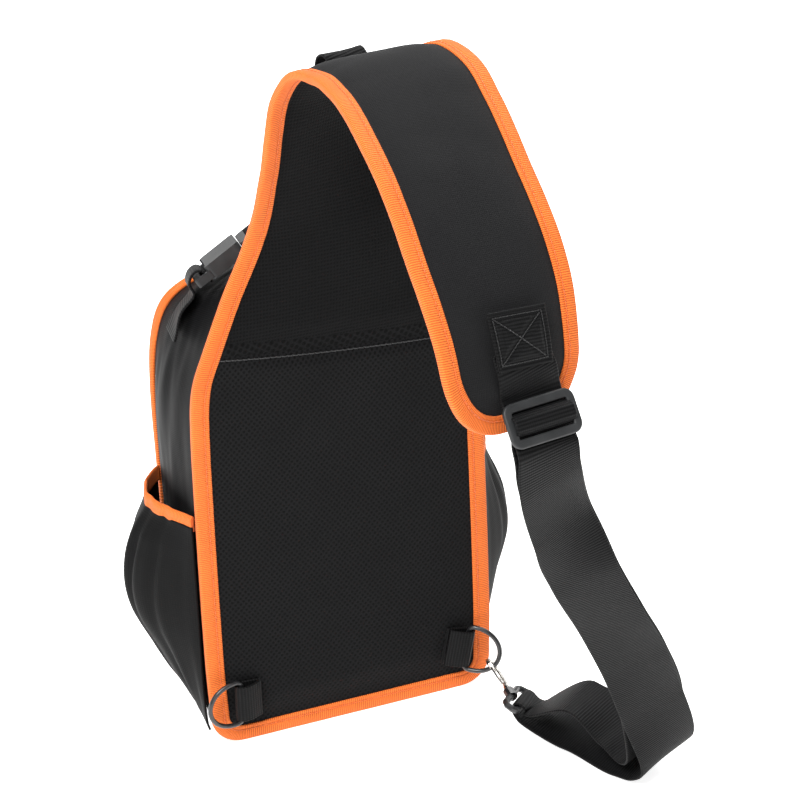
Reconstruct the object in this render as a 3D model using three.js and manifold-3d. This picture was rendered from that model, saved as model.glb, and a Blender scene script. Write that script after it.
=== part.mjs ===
// Sling tool bag, standing, seen from its wearing side. Millimetres, +Z up.
// The padded back panel faces -Y, the bag's front faces +Y, the floor is Z = 0.
import * as THREE from 'three';
import { mergeVertices } from 'three/addons/utils/BufferGeometryUtils.js';
import Module from 'manifold-3d';

const wasm = await Module();
wasm.setup();

// Main sizes
const PANEL_HALF = 90;            // half the panel's width at its foot
const SEAM_HEIGHT = 252;          // seam between the panel and the yoke, at the middle
const SEAM_RISE = 10;             // how much higher the seam ends are
const NECK_START = 330;           // height where the ribbon starts to lean
const PAD_START = 375;            // where the pad proper starts, along the ribbon
const BODY_TOP = 319;             // top of the compartment at the panel
const PAD_HALF = 47;              // half the pad's width
const PAD_REACH = 220;            // how far the pad comes forward
const CREST_HEIGHT = 451;         // middle of the pad's thickness at its highest point
const PAD_SHIFT = 26;             // how far the pad drifts to +X
const PAD_END_RADIUS = 36;        // rounded corners at the pad's free end
const FOOT_RADIUS = 19;           // rounded corners at the panel's foot
const PADDING = 5;                // thickness at the bound edge
const PANEL_PUFF = 3.2;           // extra thickness in the middle of the panel
const PAD_PUFF = 3.0;             // the same on each side of the pad
const TAPE_FACE = 10.4;           // width of the edge tape on each face
const GAP = 0.3;                  // clearance between pieces that touch
const CLOTH = 1.8;                // bag cloth with its seam allowance
const RIM_DEPTH = 72;             // from the panel to the front seam
const FRONT_BULGE = 19;           // how far the front stands out beyond its seam
const WEB_WIDTH = 40;             // shoulder webbing
const WEB_THICK = 1.7;
const SMALL_WEB = 25;             // handle, closure and ring webbing
const RING_WIRE = 2.8;
const POCKET_CLOTH = 1.5;
const POCKET_SEAT = 1.2;          // pocket edge to gusset
const POCKET_BULGE = 25;           // the fuller left pocket
const POCKET_BULGE_RIGHT = 21;
const POCKET_MOUTH_BACK = 148;
const POCKET_MOUTH_FRONT = 150;
const BODY_BELLY = 6.5;           // how far the gusset's sides swell
const POCKET_TAPE = 10;

const V = (x, y, z) => new THREE.Vector3(x, y, z);
const rad = (deg) => deg * Math.PI / 180;
const clamp01 = (v) => Math.min(1, Math.max(0, v));
const smooth = (v) => clamp01(v) * clamp01(v) * (3 - 2 * clamp01(v));
const mix = (a, b, k) => a + (b - a) * k;
// The origin is the middle of the flat base, between the panel and the front
const BASE_MIDDLE = 45;
const group = new THREE.Group();
group.name = 'sling_tool_bag';
group.position.y = -BASE_MIDDLE;

function addMesh(name, geometry) {
  const mesh = new THREE.Mesh(geometry, new THREE.MeshStandardMaterial());
  mesh.name = name;
  group.add(mesh);
  return mesh;
}

function fromTriangles(points, triangles) {
  const geometry = new THREE.BufferGeometry();
  const flat = [];
  for (const p of points) {
    flat.push(p.x, p.y, p.z);
  }
  geometry.setAttribute('position', new THREE.Float32BufferAttribute(flat, 3));
  geometry.setIndex(triangles);
  return mergeVertices(geometry, 1e-4);
}

// The body's signed volume tells whether its faces point out
function faceOut(geometry) {
  const p = geometry.attributes.position;
  const index = geometry.index.array;
  let volume = 0;
  const a = V(0, 0, 0);
  const b = V(0, 0, 0);
  const c = V(0, 0, 0);
  for (let i = 0; i < index.length; i += 3) {
    a.fromBufferAttribute(p, index[i]);
    b.fromBufferAttribute(p, index[i + 1]);
    c.fromBufferAttribute(p, index[i + 2]);
    volume += a.dot(b.cross(c));
  }
  if (volume < 0) {
    for (let i = 0; i < index.length; i += 3) {
      const keep = index[i];
      index[i] = index[i + 1];
      index[i + 1] = keep;
    }
  }
  return geometry;
}

// A smooth curve through a table's column, read at any share of its key column
function column(rows, key, name) {
  return (at) => {
    let i = 0;
    while (i < rows.length - 2 && rows[i + 1][key] < at) {
      i += 1;
    }
    const p1 = rows[i];
    const p2 = rows[i + 1];
    const p0 = rows[Math.max(0, i - 1)];
    const p3 = rows[Math.min(rows.length - 1, i + 2)];
    const span = p2[key] - p1[key];
    const k = clamp01((at - p1[key]) / span);
    const m1 = i === 0 ? (p2[name] - p1[name]) / span : (p2[name] - p0[name]) / (p2[key] - p0[key]);
    const m2 = i === rows.length - 2
      ? (p2[name] - p1[name]) / span
      : (p3[name] - p1[name]) / (p3[key] - p1[key]);
    const k2 = k * k;
    const k3 = k2 * k;
    return (2 * k3 - 3 * k2 + 1) * p1[name] + (k3 - 2 * k2 + k) * span * m1
      + (3 * k2 - 2 * k3) * p2[name] + (k3 - k2) * span * m2;
  };
}

// Two matching grids of points become one closed body
function sheetSolid(outer, inner, around = false) {
  const rows = outer.length;
  const cols = outer[0].length;
  const points = [...outer.flat(), ...inner.flat()];
  const shift = rows * cols;
  const triangles = [];
  const quad = (a, b, c, d) => triangles.push(a, b, c, a, c, d);
  const at = (i, j) => i * cols + (j % cols);
  const lastCol = around ? cols : cols - 1;
  for (let i = 0; i < rows - 1; i += 1) {
    for (let j = 0; j < lastCol; j += 1) {
      quad(at(i, j), at(i, j + 1), at(i + 1, j + 1), at(i + 1, j));
      quad(shift + at(i, j), shift + at(i + 1, j), shift + at(i + 1, j + 1), shift + at(i, j + 1));
    }
  }
  for (let j = 0; j < lastCol; j += 1) {
    quad(at(0, j), shift + at(0, j), shift + at(0, j + 1), at(0, j + 1));
    quad(at(rows - 1, j), at(rows - 1, j + 1), shift + at(rows - 1, j + 1), shift + at(rows - 1, j));
  }
  if (!around) {
    for (let i = 0; i < rows - 1; i += 1) {
      quad(at(i, 0), at(i + 1, 0), shift + at(i + 1, 0), shift + at(i, 0));
      quad(at(i, cols - 1), shift + at(i, cols - 1), shift + at(i + 1, cols - 1), at(i + 1, cols - 1));
    }
  }
  return faceOut(fromTriangles(points, triangles));
}

// Rings of points joined one to the next, closed by fans at both ends or run round
function ringSolid(rings, looped = false) {
  const n = rings[0].length;
  const points = rings.flat();
  const triangles = [];
  const last = looped ? rings.length : rings.length - 1;
  for (let i = 0; i < last; i += 1) {
    const next = (i + 1) % rings.length;
    for (let j = 0; j < n; j += 1) {
      const k = (j + 1) % n;
      triangles.push(i * n + j, i * n + k, next * n + k);
      triangles.push(i * n + j, next * n + k, next * n + j);
    }
  }
  if (!looped) {
    for (const end of [0, rings.length - 1]) {
      const centre = V(0, 0, 0);
      for (const p of rings[end]) {
        centre.addScaledVector(p, 1 / n);
      }
      points.push(centre);
      const c = points.length - 1;
      for (let j = 0; j < n; j += 1) {
        const k = (j + 1) % n;
        if (end === 0) {
          triangles.push(c, end * n + k, end * n + j);
        } else {
          triangles.push(c, end * n + j, end * n + k);
        }
      }
    }
  }
  return faceOut(fromTriangles(points, triangles));
}

// Round bar along a list of points
function rod(path, radius, sides = 8, looped = false) {
  const rings = [];
  let side = null;
  for (let i = 0; i < path.length; i += 1) {
    const before = path[looped ? (i + path.length - 1) % path.length : Math.max(0, i - 1)];
    const after = path[looped ? (i + 1) % path.length : Math.min(path.length - 1, i + 1)];
    const t = after.clone().sub(before).normalize();
    if (side === null) {
      side = Math.abs(t.z) < 0.9 ? V(0, 0, 1).cross(t) : V(1, 0, 0).cross(t);
    }
    side.addScaledVector(t, -side.dot(t)).normalize();
    const up = t.clone().cross(side);
    const ring = [];
    for (let j = 0; j < sides; j += 1) {
      const a = 2 * Math.PI * j / sides;
      const p = path[i].clone();
      p.addScaledVector(side, radius * Math.cos(a));
      p.addScaledVector(up, radius * Math.sin(a));
      ring.push(p);
    }
    rings.push(ring);
  }
  return ringSolid(rings, looped);
}

// A flat strip along stations that hold a point, a width direction and a width
function strip(stations, thick) {
  const outer = [];
  const inner = [];
  for (let i = 0; i < stations.length; i += 1) {
    const s = stations[i];
    const before = stations[Math.max(0, i - 1)].p;
    const after = stations[Math.min(stations.length - 1, i + 1)].p;
    const t = after.clone().sub(before).normalize();
    const w = s.w.clone().addScaledVector(t, -s.w.dot(t)).normalize();
    const n = t.clone().cross(w);
    const row = [];
    const back = [];
    for (const side of [-1, 1]) {
      const p = s.p.clone().addScaledVector(w, side * s.width / 2);
      row.push(p.clone().addScaledVector(n, thick / 2));
      back.push(p.clone().addScaledVector(n, -thick / 2));
    }
    outer.push(row);
    inner.push(back);
  }
  return sheetSolid(outer, inner);
}

// Stations along a smooth curve through the given rows, none further apart than the step
function stationsThrough(rows, step) {
  const curve = new THREE.CatmullRomCurve3(rows.map((r) => r.p), false, 'centripetal');
  const out = [];
  for (let r = 0; r < rows.length - 1; r += 1) {
    const parts = Math.max(1, Math.ceil(rows[r].p.distanceTo(rows[r + 1].p) / step));
    for (let k = 0; k < parts; k += 1) {
      const share = k / parts;
      out.push({
        p: curve.getPoint((r + share) / (rows.length - 1)),
        w: rows[r].w.clone().lerp(rows[r + 1].w, smooth(share)).normalize(),
        width: mix(rows[r].width, rows[r + 1].width, smooth(share)),
      });
    }
  }
  out.push(rows[rows.length - 1]);
  return out;
}

// The panel, neck and pad are one ribbon: upright from the floor, over the crest and forward.
// side, forward and height are shares of PAD_SHIFT, PAD_REACH and CREST_HEIGHT;
// yaw and drop turn the ribbon's width, in degrees.
const ARCH = [
  { side: 0.012, forward: -0.0008, height: 0.7851, yaw: 8.0, drop: 2.0 },
  { side: 0.056, forward: -0.0007, height: 0.8385, yaw: 17.6, drop: 3.2 },
  { side: 0.132, forward: 0.0091, height: 0.8914, yaw: 20.2, drop: 3.1 },
  { side: 0.284, forward: 0.0430, height: 0.9412, yaw: 16.8, drop: 5.5 },
  { side: 0.525, forward: 0.1111, height: 0.9799, yaw: 15.2, drop: 8.9 },
  { side: 0.778, forward: 0.2073, height: 0.9994, yaw: 17.7, drop: 4.8 },
  { side: 0.914, forward: 0.3141, height: 0.9994, yaw: 7.9, drop: 3.7 },
  { side: 0.942, forward: 0.4194, height: 0.9869, yaw: 4.5, drop: 7.4 },
  { side: 0.948, forward: 0.5204, height: 0.9672, yaw: 6.0, drop: 8.4 },
  { side: 0.958, forward: 0.6166, height: 0.9425, yaw: 7.4, drop: 9.5 },
  { side: 0.981, forward: 0.7073, height: 0.9127, yaw: 8.2, drop: 7.9 },
  { side: 1.000, forward: 0.7906, height: 0.8778, yaw: 7.8, drop: 7.0 },
  { side: 1.017, forward: 0.8648, height: 0.8382, yaw: 10.0, drop: 8.4 },
  { side: 0.999, forward: 0.9250, height: 0.7933, yaw: 15.0, drop: 10.0 },
  { side: 0.949, forward: 0.9693, height: 0.7440, yaw: 19.5, drop: 9.1 },
  { side: 0.914, forward: 1.0006, height: 0.6923, yaw: 20.9, drop: 5.2 },
];

const archPoints = [V(0, 0, NECK_START - 60), V(0, 0, NECK_START - 30), V(0, 0, NECK_START)];
for (const r of ARCH) {
  archPoints.push(V(r.side * PAD_SHIFT, -r.forward * PAD_REACH, r.height * CREST_HEIGHT));
}
const archCurve = new THREE.CatmullRomCurve3(archPoints, false, 'centripetal');
archCurve.arcLengthDivisions = 600;
const ARCH_START = NECK_START - 60;
const ARCH_LENGTH = archCurve.getLength();
const S_END = ARCH_START + ARCH_LENGTH;

const turnRows = [
  { s: ARCH_START, yaw: 0, drop: 0 },
  { s: NECK_START, yaw: 0, drop: 0 },
];
let walked = NECK_START;
for (let i = 3; i < archPoints.length; i += 1) {
  walked += archPoints[i].distanceTo(archPoints[i - 1]);
  turnRows.push({ s: walked, yaw: ARCH[i - 3].yaw, drop: ARCH[i - 3].drop });
}
const yawAt = column(turnRows, 's', 'yaw');
const dropAt = column(turnRows, 's', 'drop');

// Point of the ribbon: s along it, x across it, d from its wearing face to its outer face
function place(s, x, d) {
  let centre;
  let t;
  if (s <= ARCH_START) {
    centre = V(0, 0, s);
    t = V(0, 0, 1);
  } else {
    const u = Math.min(1, (s - ARCH_START) / ARCH_LENGTH);
    centre = archCurve.getPointAt(u);
    t = archCurve.getTangentAt(u);
    if (s > S_END) {
      centre.addScaledVector(t, s - S_END);
    }
  }
  const yaw = rad(s <= ARCH_START ? 0 : yawAt(s));
  const drop = rad(s <= ARCH_START ? 0 : dropAt(s));
  const w = V(Math.cos(yaw) * Math.cos(drop), Math.sin(yaw) * Math.cos(drop), -Math.sin(drop));
  w.addScaledVector(t, -w.dot(t)).normalize();
  const out = t.clone().cross(w);
  const p = centre.clone();
  p.addScaledVector(w, x + leanAt(s));
  p.addScaledVector(out, d - 0.5 * PADDING * smooth((s - ARCH_START) / 110));
  return p;
}

// Half width of the flat pattern against the distance from the floor
const SIDE = [
  { s: FOOT_RADIUS, half: 0.980, lean: 0 },
  { s: 60, half: 0.994, lean: 0 },
  { s: 165, half: 0.995, lean: 0 },
  { s: 225, half: 0.985, lean: 0.001 },
  { s: 246, half: 0.960, lean: 0.006 },
  { s: 264, half: 0.900, lean: 0.020 },
  { s: 297, half: 0.775, lean: 0.046 },
  { s: 330, half: 0.622, lean: 0.055 },
  { s: 352, half: 0.548, lean: 0.033 },
  { s: 375, half: PAD_HALF / PANEL_HALF + 0.004, lean: 0.008 },
  { s: 400, half: PAD_HALF / PANEL_HALF, lean: 0 },
];
const sideHalf = column(SIDE, 's', 'half');
const sideLean = column(SIDE, 's', 'lean');
const halfAt = (s) => (s > 400 ? PAD_HALF : PANEL_HALF * sideHalf(Math.max(FOOT_RADIUS, s)));
const leanAt = (s) => (s > 400 ? 0 : PANEL_HALF * sideLean(Math.max(FOOT_RADIUS, s)));
const FOOT_HALF = halfAt(FOOT_RADIUS);

// The outline of the flat pattern, right side, from the foot's middle to the pad end's middle
function outlineRight() {
  const pts = [];
  for (let i = 0; i <= 5; i += 1) {
    pts.push([(FOOT_HALF - FOOT_RADIUS) * i / 5, 0]);
  }
  for (let i = 1; i <= 5; i += 1) {
    const a = rad(90 * i / 5);
    const x = FOOT_HALF - FOOT_RADIUS + FOOT_RADIUS * Math.sin(a);
    pts.push([x, FOOT_RADIUS * (1 - Math.cos(a))]);
  }
  const top = S_END - PAD_END_RADIUS;
  const stops = [];
  for (const s of [60, 110, 165, 205, 228, 240, 250, 260, 272, 285, 300, 316, 332, 345, 358, 375]) {
    stops.push(s);
  }
  const count = 26;
  for (let i = 0; i <= count; i += 1) {
    stops.push(PAD_START + 17 + (top - PAD_START - 17) * i / count);
  }
  for (const s of stops) {
    pts.push([halfAt(s), s]);
  }
  for (let i = 1; i <= 7; i += 1) {
    const a = rad(90 * i / 7);
    const flat = PAD_HALF - PAD_END_RADIUS;
    pts.push([flat + PAD_END_RADIUS * Math.cos(a), top + PAD_END_RADIUS * Math.sin(a)]);
  }
  pts.push([0, S_END]);
  return pts;
}

const right = outlineRight();
const outline = [...right];
for (let i = right.length - 2; i > 0; i -= 1) {
  outline.push([-right[i][0], right[i][1]]);
}

// The outline moved inwards by a distance
function inset(distance) {
  const n = outline.length;
  return outline.map((p, i) => {
    const a = outline[(i + n - 1) % n];
    const b = outline[(i + 1) % n];
    const d1 = [p[0] - a[0], p[1] - a[1]];
    const d2 = [b[0] - p[0], b[1] - p[1]];
    const l1 = Math.hypot(d1[0], d1[1]);
    const l2 = Math.hypot(d2[0], d2[1]);
    const n1 = [-d1[1] / l1, d1[0] / l1];
    const n2 = [-d2[1] / l2, d2[0] / l2];
    const m = [n1[0] + n2[0], n1[1] + n2[1]];
    const k = distance / (1 + n1[0] * n2[0] + n1[1] * n2[1]);
    return [p[0] + m[0] * k, p[1] + m[1] * k];
  });
}

// The tape is folded over the edge: inward share of TAPE_FACE, depth share of PADDING
const TAPE_SECTION = [
  { inward: 0.00, depth: 0.28 },
  { inward: 0.00, depth: 0.72 },
  { inward: 0.22, depth: 1.00 },
  { inward: 1.00, depth: 0.96 },
  { inward: 1.00, depth: 0.04 },
  { inward: 0.22, depth: 0.00 },
];

function tapeRings(from, to) {
  const rows = TAPE_SECTION.map((r) => inset(r.inward * TAPE_FACE));
  const rings = [];
  for (let i = from; i < to; i += 1) {
    const k = i % outline.length;
    rings.push(TAPE_SECTION.map((r, j) => place(rows[j][k][1], rows[j][k][0], r.depth * PADDING)));
  }
  return rings;
}
addMesh('edge_tape', ringSolid(tapeRings(0, outline.length), true));

// Half width of the padding inside the tape
const SEAT = 0.9;                 // tape to padding, where both bend
const innerLine = inset(TAPE_FACE + SEAT).slice(0, right.length);
function innerHalf(s) {
  for (let i = 1; i < innerLine.length; i += 1) {
    const a = innerLine[i - 1];
    const b = innerLine[i];
    if (b[1] >= s && a[1] < s && b[1] > a[1]) {
      return mix(a[0], b[0], (s - a[1]) / (b[1] - a[1]));
    }
  }
  return innerLine[innerLine.length - 1][1] <= s ? 4 : innerLine[4][0];
}
const S_IN = TAPE_FACE + SEAT;
const S_OUT = S_END - TAPE_FACE - SEAT;

// How far the padding swells at a point, 0 at its edge and 1 well inside
function swell(s, x, low, high) {
  const half = innerHalf(Math.min(Math.max(s, S_IN + 0.5), S_OUT - 0.5));
  const across = 1 - Math.pow(Math.min(1, Math.abs(x) / half), 4);
  const along = Math.min(smooth((s - low) / 22), smooth((high - s) / 22));
  return across * along;
}

// Wearing face and outer face of the padding, as depth of the ribbon
const seamAt = (x) => SEAM_HEIGHT + SEAM_RISE * Math.pow(x / 80, 2);
const panelFace = (s, x) => 0.8 - PANEL_PUFF * swell(s, x, S_IN, seamAt(x));
const padFace = (s, x) => 0.8 - PAD_PUFF * swell(s, x, seamAt(x), S_OUT);
const padOuter = (s, x) => PADDING - 0.8 + (s > PAD_START ? PAD_PUFF * swell(s, x, PAD_START, S_OUT) : 0);

function paddedPiece(sRows, startOf, endOf, face, back) {
  const front = [];
  const rear = [];
  const cols = 8;
  for (const v of sRows) {
    const a = [];
    const b = [];
    for (let j = 0; j <= cols; j += 1) {
      const tau = -Math.cos(Math.PI * j / cols) * 0.35 + (2 * j / cols - 1) * 0.65;
      let s = mix(S_IN, S_OUT, v);
      let x = tau * 60;
      for (let pass = 0; pass < 3; pass += 1) {
        s = mix(startOf(x), endOf(x), v);
        x = tau * innerHalf(Math.min(Math.max(s, S_IN + 0.01), S_OUT - 0.01));
      }
      a.push(place(s, x, face(s, x)));
      b.push(place(s, x, back(s, x)));
    }
    front.push(a);
    rear.push(b);
  }
  return sheetSolid(front, rear);
}

const evenly = (n) => Array.from({ length: n + 1 }, (_, i) => i / n);
addMesh('back_panel', paddedPiece(
  evenly(12).map((v) => mix(v, smooth(v), 0.5)),
  () => S_IN,
  (x) => seamAt(x) - GAP / 2,
  panelFace,
  () => PADDING - 0.5,
));
const padRows = evenly(36).map((v) => v + 0.006 * Math.sin(2 * Math.PI * v));
addMesh('shoulder_pad', paddedPiece(
  padRows,
  (x) => seamAt(x) + GAP / 2,
  () => S_OUT,
  padFace,
  padOuter,
));

// Half outlines of the main compartment at the panel and at the front seam,
// from the middle of the floor to the middle of the top
const BODY_BACK = [
  { k: 0, x: 0, z: 0 },
  { k: 1, x: 40, z: 0 },
  { k: 2, x: 70, z: 0 },
  { k: 3, x: 84, z: 7 },
  { k: 4, x: 87, z: 30 },
  { k: 5, x: 87.5, z: 90 },
  { k: 6, x: 87.5, z: 165 },
  { k: 7, x: 85, z: 225 },
  { k: 8, x: 78, z: 260 },
  { k: 9, x: 66, z: 284 },
  { k: 10, x: 49, z: 303 },
  { k: 11, x: 27, z: 315 },
  { k: 12, x: 0, z: 319 },
];
const BODY_RIM = [
  { k: 0, x: 0, z: 0 },
  { k: 1, x: 36, z: 0 },
  { k: 2, x: 62, z: 1 },
  { k: 3, x: 75, z: 8 },
  { k: 4, x: 81, z: 30 },
  { k: 5, x: 85, z: 90 },
  { k: 6, x: 86.5, z: 160 },
  { k: 7, x: 87, z: 208 },
  { k: 8, x: 84.5, z: 242 },
  { k: 9, x: 76, z: 264 },
  { k: 10, x: 56, z: 275 },
  { k: 11, x: 30, z: 280 },
  { k: 12, x: 0, z: 282 },
];
// The tables are for a panel half 90 wide and a top at 319, and follow those two sizes
const scaled = (rows, name, size) => {
  const at = column(rows, 'k', name);
  return (k) => at(k) * size;
};
const backX = scaled(BODY_BACK, 'x', PANEL_HALF / 90);
const backZ = scaled(BODY_BACK, 'z', BODY_TOP / 319);
const rimX = scaled(BODY_RIM, 'x', PANEL_HALF / 90);
const rimZ = scaled(BODY_RIM, 'z', BODY_TOP / 319);
const BODY_BACK_Y = PADDING + 0.8;
const FRONT_MIDDLE = BODY_TOP - 179;  // height of the front's fullest point

// Point of the gusset: k along the half outline (0 to 12), v from panel (0) to front seam (1)
function gusset(k, v, inward = 0) {
  const side = k > 12 ? -1 : 1;
  const kk = k > 12 ? 24 - k : k;
  const full = smooth((kk - 3) / 1.6) * (1 - 0.75 * smooth((kk - 7) / 1.6));
  const belly = BODY_BELLY * Math.sin(Math.PI * Math.pow(v, 1.25)) * full;
  const x = Math.max(0, mix(backX(kk), rimX(kk), v));
  const z = Math.max(0, mix(backZ(kk), rimZ(kk), v));
  const h = 0.05;
  const x2 = mix(backX(Math.min(12, kk + h)), rimX(Math.min(12, kk + h)), v);
  const z2 = mix(backZ(Math.min(12, kk + h)), rimZ(Math.min(12, kk + h)), v);
  const x1 = mix(backX(Math.max(0, kk - h)), rimX(Math.max(0, kk - h)), v);
  const z1 = mix(backZ(Math.max(0, kk - h)), rimZ(Math.max(0, kk - h)), v);
  const l = Math.hypot(x2 - x1, z2 - z1);
  const nx = (z2 - z1) / l;
  const nz = -(x2 - x1) / l;
  const push = belly - inward;
  return V(side * (x + nx * push), mix(BODY_BACK_Y, RIM_DEPTH, v), z + nz * push);
}

function bodySolid() {
  const around = 40;
  const outer = [];
  const inner = [];
  for (const v of [0, 0.2, 0.45, 0.7, 0.88, 1]) {
    const a = [];
    const b = [];
    for (let j = 0; j < around; j += 1) {
      a.push(gusset(24 * j / around, v));
      b.push(gusset(24 * j / around, v, CLOTH));
    }
    outer.push(a);
    inner.push(b);
  }
  const centre = V(0, RIM_DEPTH, FRONT_MIDDLE);
  for (const r of [0.96, 0.86, 0.66, 0.4, 0.15]) {
    const a = [];
    const b = [];
    for (let j = 0; j < around; j += 1) {
      const rim = gusset(24 * j / around, 1);
      const rimIn = gusset(24 * j / around, 1, CLOTH);
      const rise = FRONT_BULGE * Math.pow(1 - Math.pow(r, 3.2), 0.7);
      const p = centre.clone().lerp(rim, r);
      const q = centre.clone().lerp(rimIn, r);
      const low = smooth((p.z - 2) / 40);
      a.push(V(p.x, RIM_DEPTH + rise * mix(0.55, 1, low), p.z));
      b.push(V(q.x, RIM_DEPTH + rise * mix(0.55, 1, low) - CLOTH, q.z));
    }
    outer.push(a);
    inner.push(b);
  }
  const rows = outer.length;
  const points = [...outer.flat(), ...inner.flat()];
  const shift = rows * around;
  const triangles = [];
  const quad = (a, b, c, d) => triangles.push(a, b, c, a, c, d);
  for (let i = 0; i < rows - 1; i += 1) {
    for (let j = 0; j < around; j += 1) {
      const k = (j + 1) % around;
      quad(i * around + j, i * around + k, (i + 1) * around + k, (i + 1) * around + j);
      quad(shift + i * around + j, shift + (i + 1) * around + j,
        shift + (i + 1) * around + k, shift + i * around + k);
    }
  }
  const bump = RIM_DEPTH + FRONT_BULGE;
  points.push(V(0, bump, FRONT_MIDDLE), V(0, bump - CLOTH, FRONT_MIDDLE));
  const pole = points.length - 2;
  for (let j = 0; j < around; j += 1) {
    const k = (j + 1) % around;
    const last = (rows - 1) * around;
    triangles.push(last + j, last + k, pole);
    triangles.push(shift + last + k, shift + last + j, pole + 1);
    quad(j, shift + j, shift + k, k);
  }
  return faceOut(fromTriangles(points, triangles));
}
addMesh('bag_body', bodySolid());

// Orange piping along the front seam, from floor to floor over the top
const PIPING = [
  { out: -0.35, y: -3.4 },
  { out: 2.2, y: -3.6 },
  { out: 3.3, y: 0 },
  { out: 2.2, y: 3.6 },
  { out: -0.35, y: 3.4 },
];
function pipingSolid() {
  const rings = [];
  const steps = 64;
  for (let i = 0; i <= steps; i += 1) {
    const k = mix(3.3, 20.7, i / steps);
    rings.push(PIPING.map((r) => {
      const v = 1 - Math.max(0, -r.y) / (RIM_DEPTH - BODY_BACK_Y);
      const seat = gusset(k, Math.min(1, v), -(r.out < 0 ? 0.45 : 0.45 + r.out));
      if (r.y > 0) {
        const lift = gusset(k, 1, -(r.out < 0 ? 0.45 : 0.45 + r.out));
        return V(lift.x, RIM_DEPTH + r.y, lift.z);
      }
      return V(seat.x, RIM_DEPTH + r.y, seat.z);
    }));
  }
  return ringSolid(rings);
}
const piping = pipingSolid();

// Where the gusset's side stands at a depth and a height
function sideAt(y, z) {
  const v = (y - BODY_BACK_Y) / (RIM_DEPTH - BODY_BACK_Y);
  let low = 3;
  let high = 9;
  for (let i = 0; i < 24; i += 1) {
    const k = (low + high) / 2;
    if (gusset(k, clamp01(v)).z < z) {
      low = k;
    } else {
      high = k;
    }
  }
  return gusset(low, clamp01(v)).x;
}

// Side pockets: u from the panel to the front seam, v from the floor to the mouth
const POCKET = [
  { v: 0.00, left: 0.00, right: 0.00 },
  { v: 0.12, left: 0.13, right: 0.20 },
  { v: 0.30, left: 0.48, right: 0.58 },
  { v: 0.50, left: 0.92, right: 1.00 },
  { v: 0.68, left: 1.00, right: 0.92 },
  { v: 0.88, left: 0.84, right: 0.48 },
  { v: 1.00, left: 0.48, right: 0.30 },
  { v: 1.08, left: 0.38, right: 0.26 },
];
const bulgeLeft = column(POCKET, 'v', 'left');
const bulgeRight = column(POCKET, 'v', 'right');
const POCKET_FOOT = 14;
function pocketPoint(side, u, v, thick, height) {
  const mouth = mix(POCKET_MOUTH_BACK, POCKET_MOUTH_FRONT, u);
  const y = mix(BODY_BACK_Y + 3, RIM_DEPTH - 5.5, u);
  const z = mix(POCKET_FOOT, mouth, v) + (height || 0);
  const spread = Math.pow(Math.sin(Math.PI * Math.pow(u, 1.25)), 0.75);
  const gather = (0.35 + 0.65 * Math.abs(v - 0.45) / 0.55) * Math.min(1, v * 6);
  const fold = 1.5 * Math.sin(2 * Math.PI * 5 * u + 1.2) * gather * Math.sin(Math.PI * u);
  const full = side > 0 ? POCKET_BULGE_RIGHT * bulgeRight(v) : POCKET_BULGE * bulgeLeft(v);
  const out = full * (u > 0 && u < 1 ? spread : 0) + fold;
  return V(side * (sideAt(y, z) + POCKET_SEAT + thick + Math.max(0, out)), y, z);
}
function pocketSolid(side) {
  const outer = [];
  const inner = [];
  for (let i = 0; i <= 8; i += 1) {
    const a = [];
    const b = [];
    for (let j = 0; j <= 18; j += 1) {
      a.push(pocketPoint(side, j / 18, i / 8, POCKET_CLOTH));
      b.push(pocketPoint(side, j / 18, i / 8, 0));
    }
    outer.push(a);
    inner.push(b);
  }
  return sheetSolid(outer, inner);
}
function pocketTape(side) {
  const outer = [];
  const inner = [];
  for (const up of [GAP, 2.5, POCKET_TAPE - 2.5, POCKET_TAPE]) {
    const a = [];
    const b = [];
    const full = up > 1 && up < POCKET_TAPE - 1 ? 0.9 : 0.3;
    for (let j = 0; j <= 18; j += 1) {
      a.push(pocketPoint(side, j / 18, 1, POCKET_CLOTH + full, up));
      b.push(pocketPoint(side, j / 18, 1, 0, up));
    }
    outer.push(a);
    inner.push(b);
  }
  return sheetSolid(outer, inner);
}
addMesh('pocket_right', pocketSolid(1));
addMesh('pocket_left', pocketSolid(-1));
addMesh('pocket_tape_right', pocketTape(1));
addMesh('pocket_tape_left', pocketTape(-1));
addMesh('front_piping', piping);

// Rings at the panel's foot. Each hangs in a webbing tab, its straight bar upright.
const RING_INNER = 26;            // length of the straight bar inside the ring
const RING_REACH = 21;            // from the bar to the middle of the bow
const RING_Z = 31;
const RING_X = PANEL_HALF - 19;
const RING_Y = -5.0;
// A point beside the ring's middle, the whole turned by a tilt in the panel's plane
function tilted(side, tilt, out, y, up) {
  const c = Math.cos(rad(tilt));
  const s = Math.sin(rad(tilt));
  return V(side * (RING_X + out * c + up * s), y, RING_Z + up * c - out * s);
}
function ringPath(side, swing, tilt) {
  const half = RING_INNER / 2 + RING_WIRE / 2;
  const flat = [];
  const corner = 4;
  flat.push([0, -half + corner], [0, half - corner]);
  for (let i = 1; i <= 3; i += 1) {
    const a = rad(90 * i / 3);
    flat.push([corner - corner * Math.cos(a), half - corner + corner * Math.sin(a)]);
  }
  for (let i = 1; i <= 12; i += 1) {
    const a = rad(90 - 180 * i / 13);
    const c = Math.cos(a);
    flat.push([corner + (RING_REACH - corner) * Math.pow(c, 0.9), half * Math.sin(a)]);
  }
  for (let i = 0; i < 3; i += 1) {
    const a = rad(90 - 90 * i / 3);
    flat.push([corner - corner * Math.cos(a), -half + corner - corner * Math.sin(a)]);
  }
  return flat.map(([reach, up]) => {
    const out = reach * Math.cos(rad(swing));
    return tilted(side, tilt, out, RING_Y - reach * Math.sin(rad(swing)), up);
  });
}
addMesh('d_ring_left', rod(ringPath(-1, 8, 0), RING_WIRE / 2, 6, true));
const ringRight = ringPath(1, 36, 12);
addMesh('d_ring_right', rod(ringRight, RING_WIRE / 2, 6, true));

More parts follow.
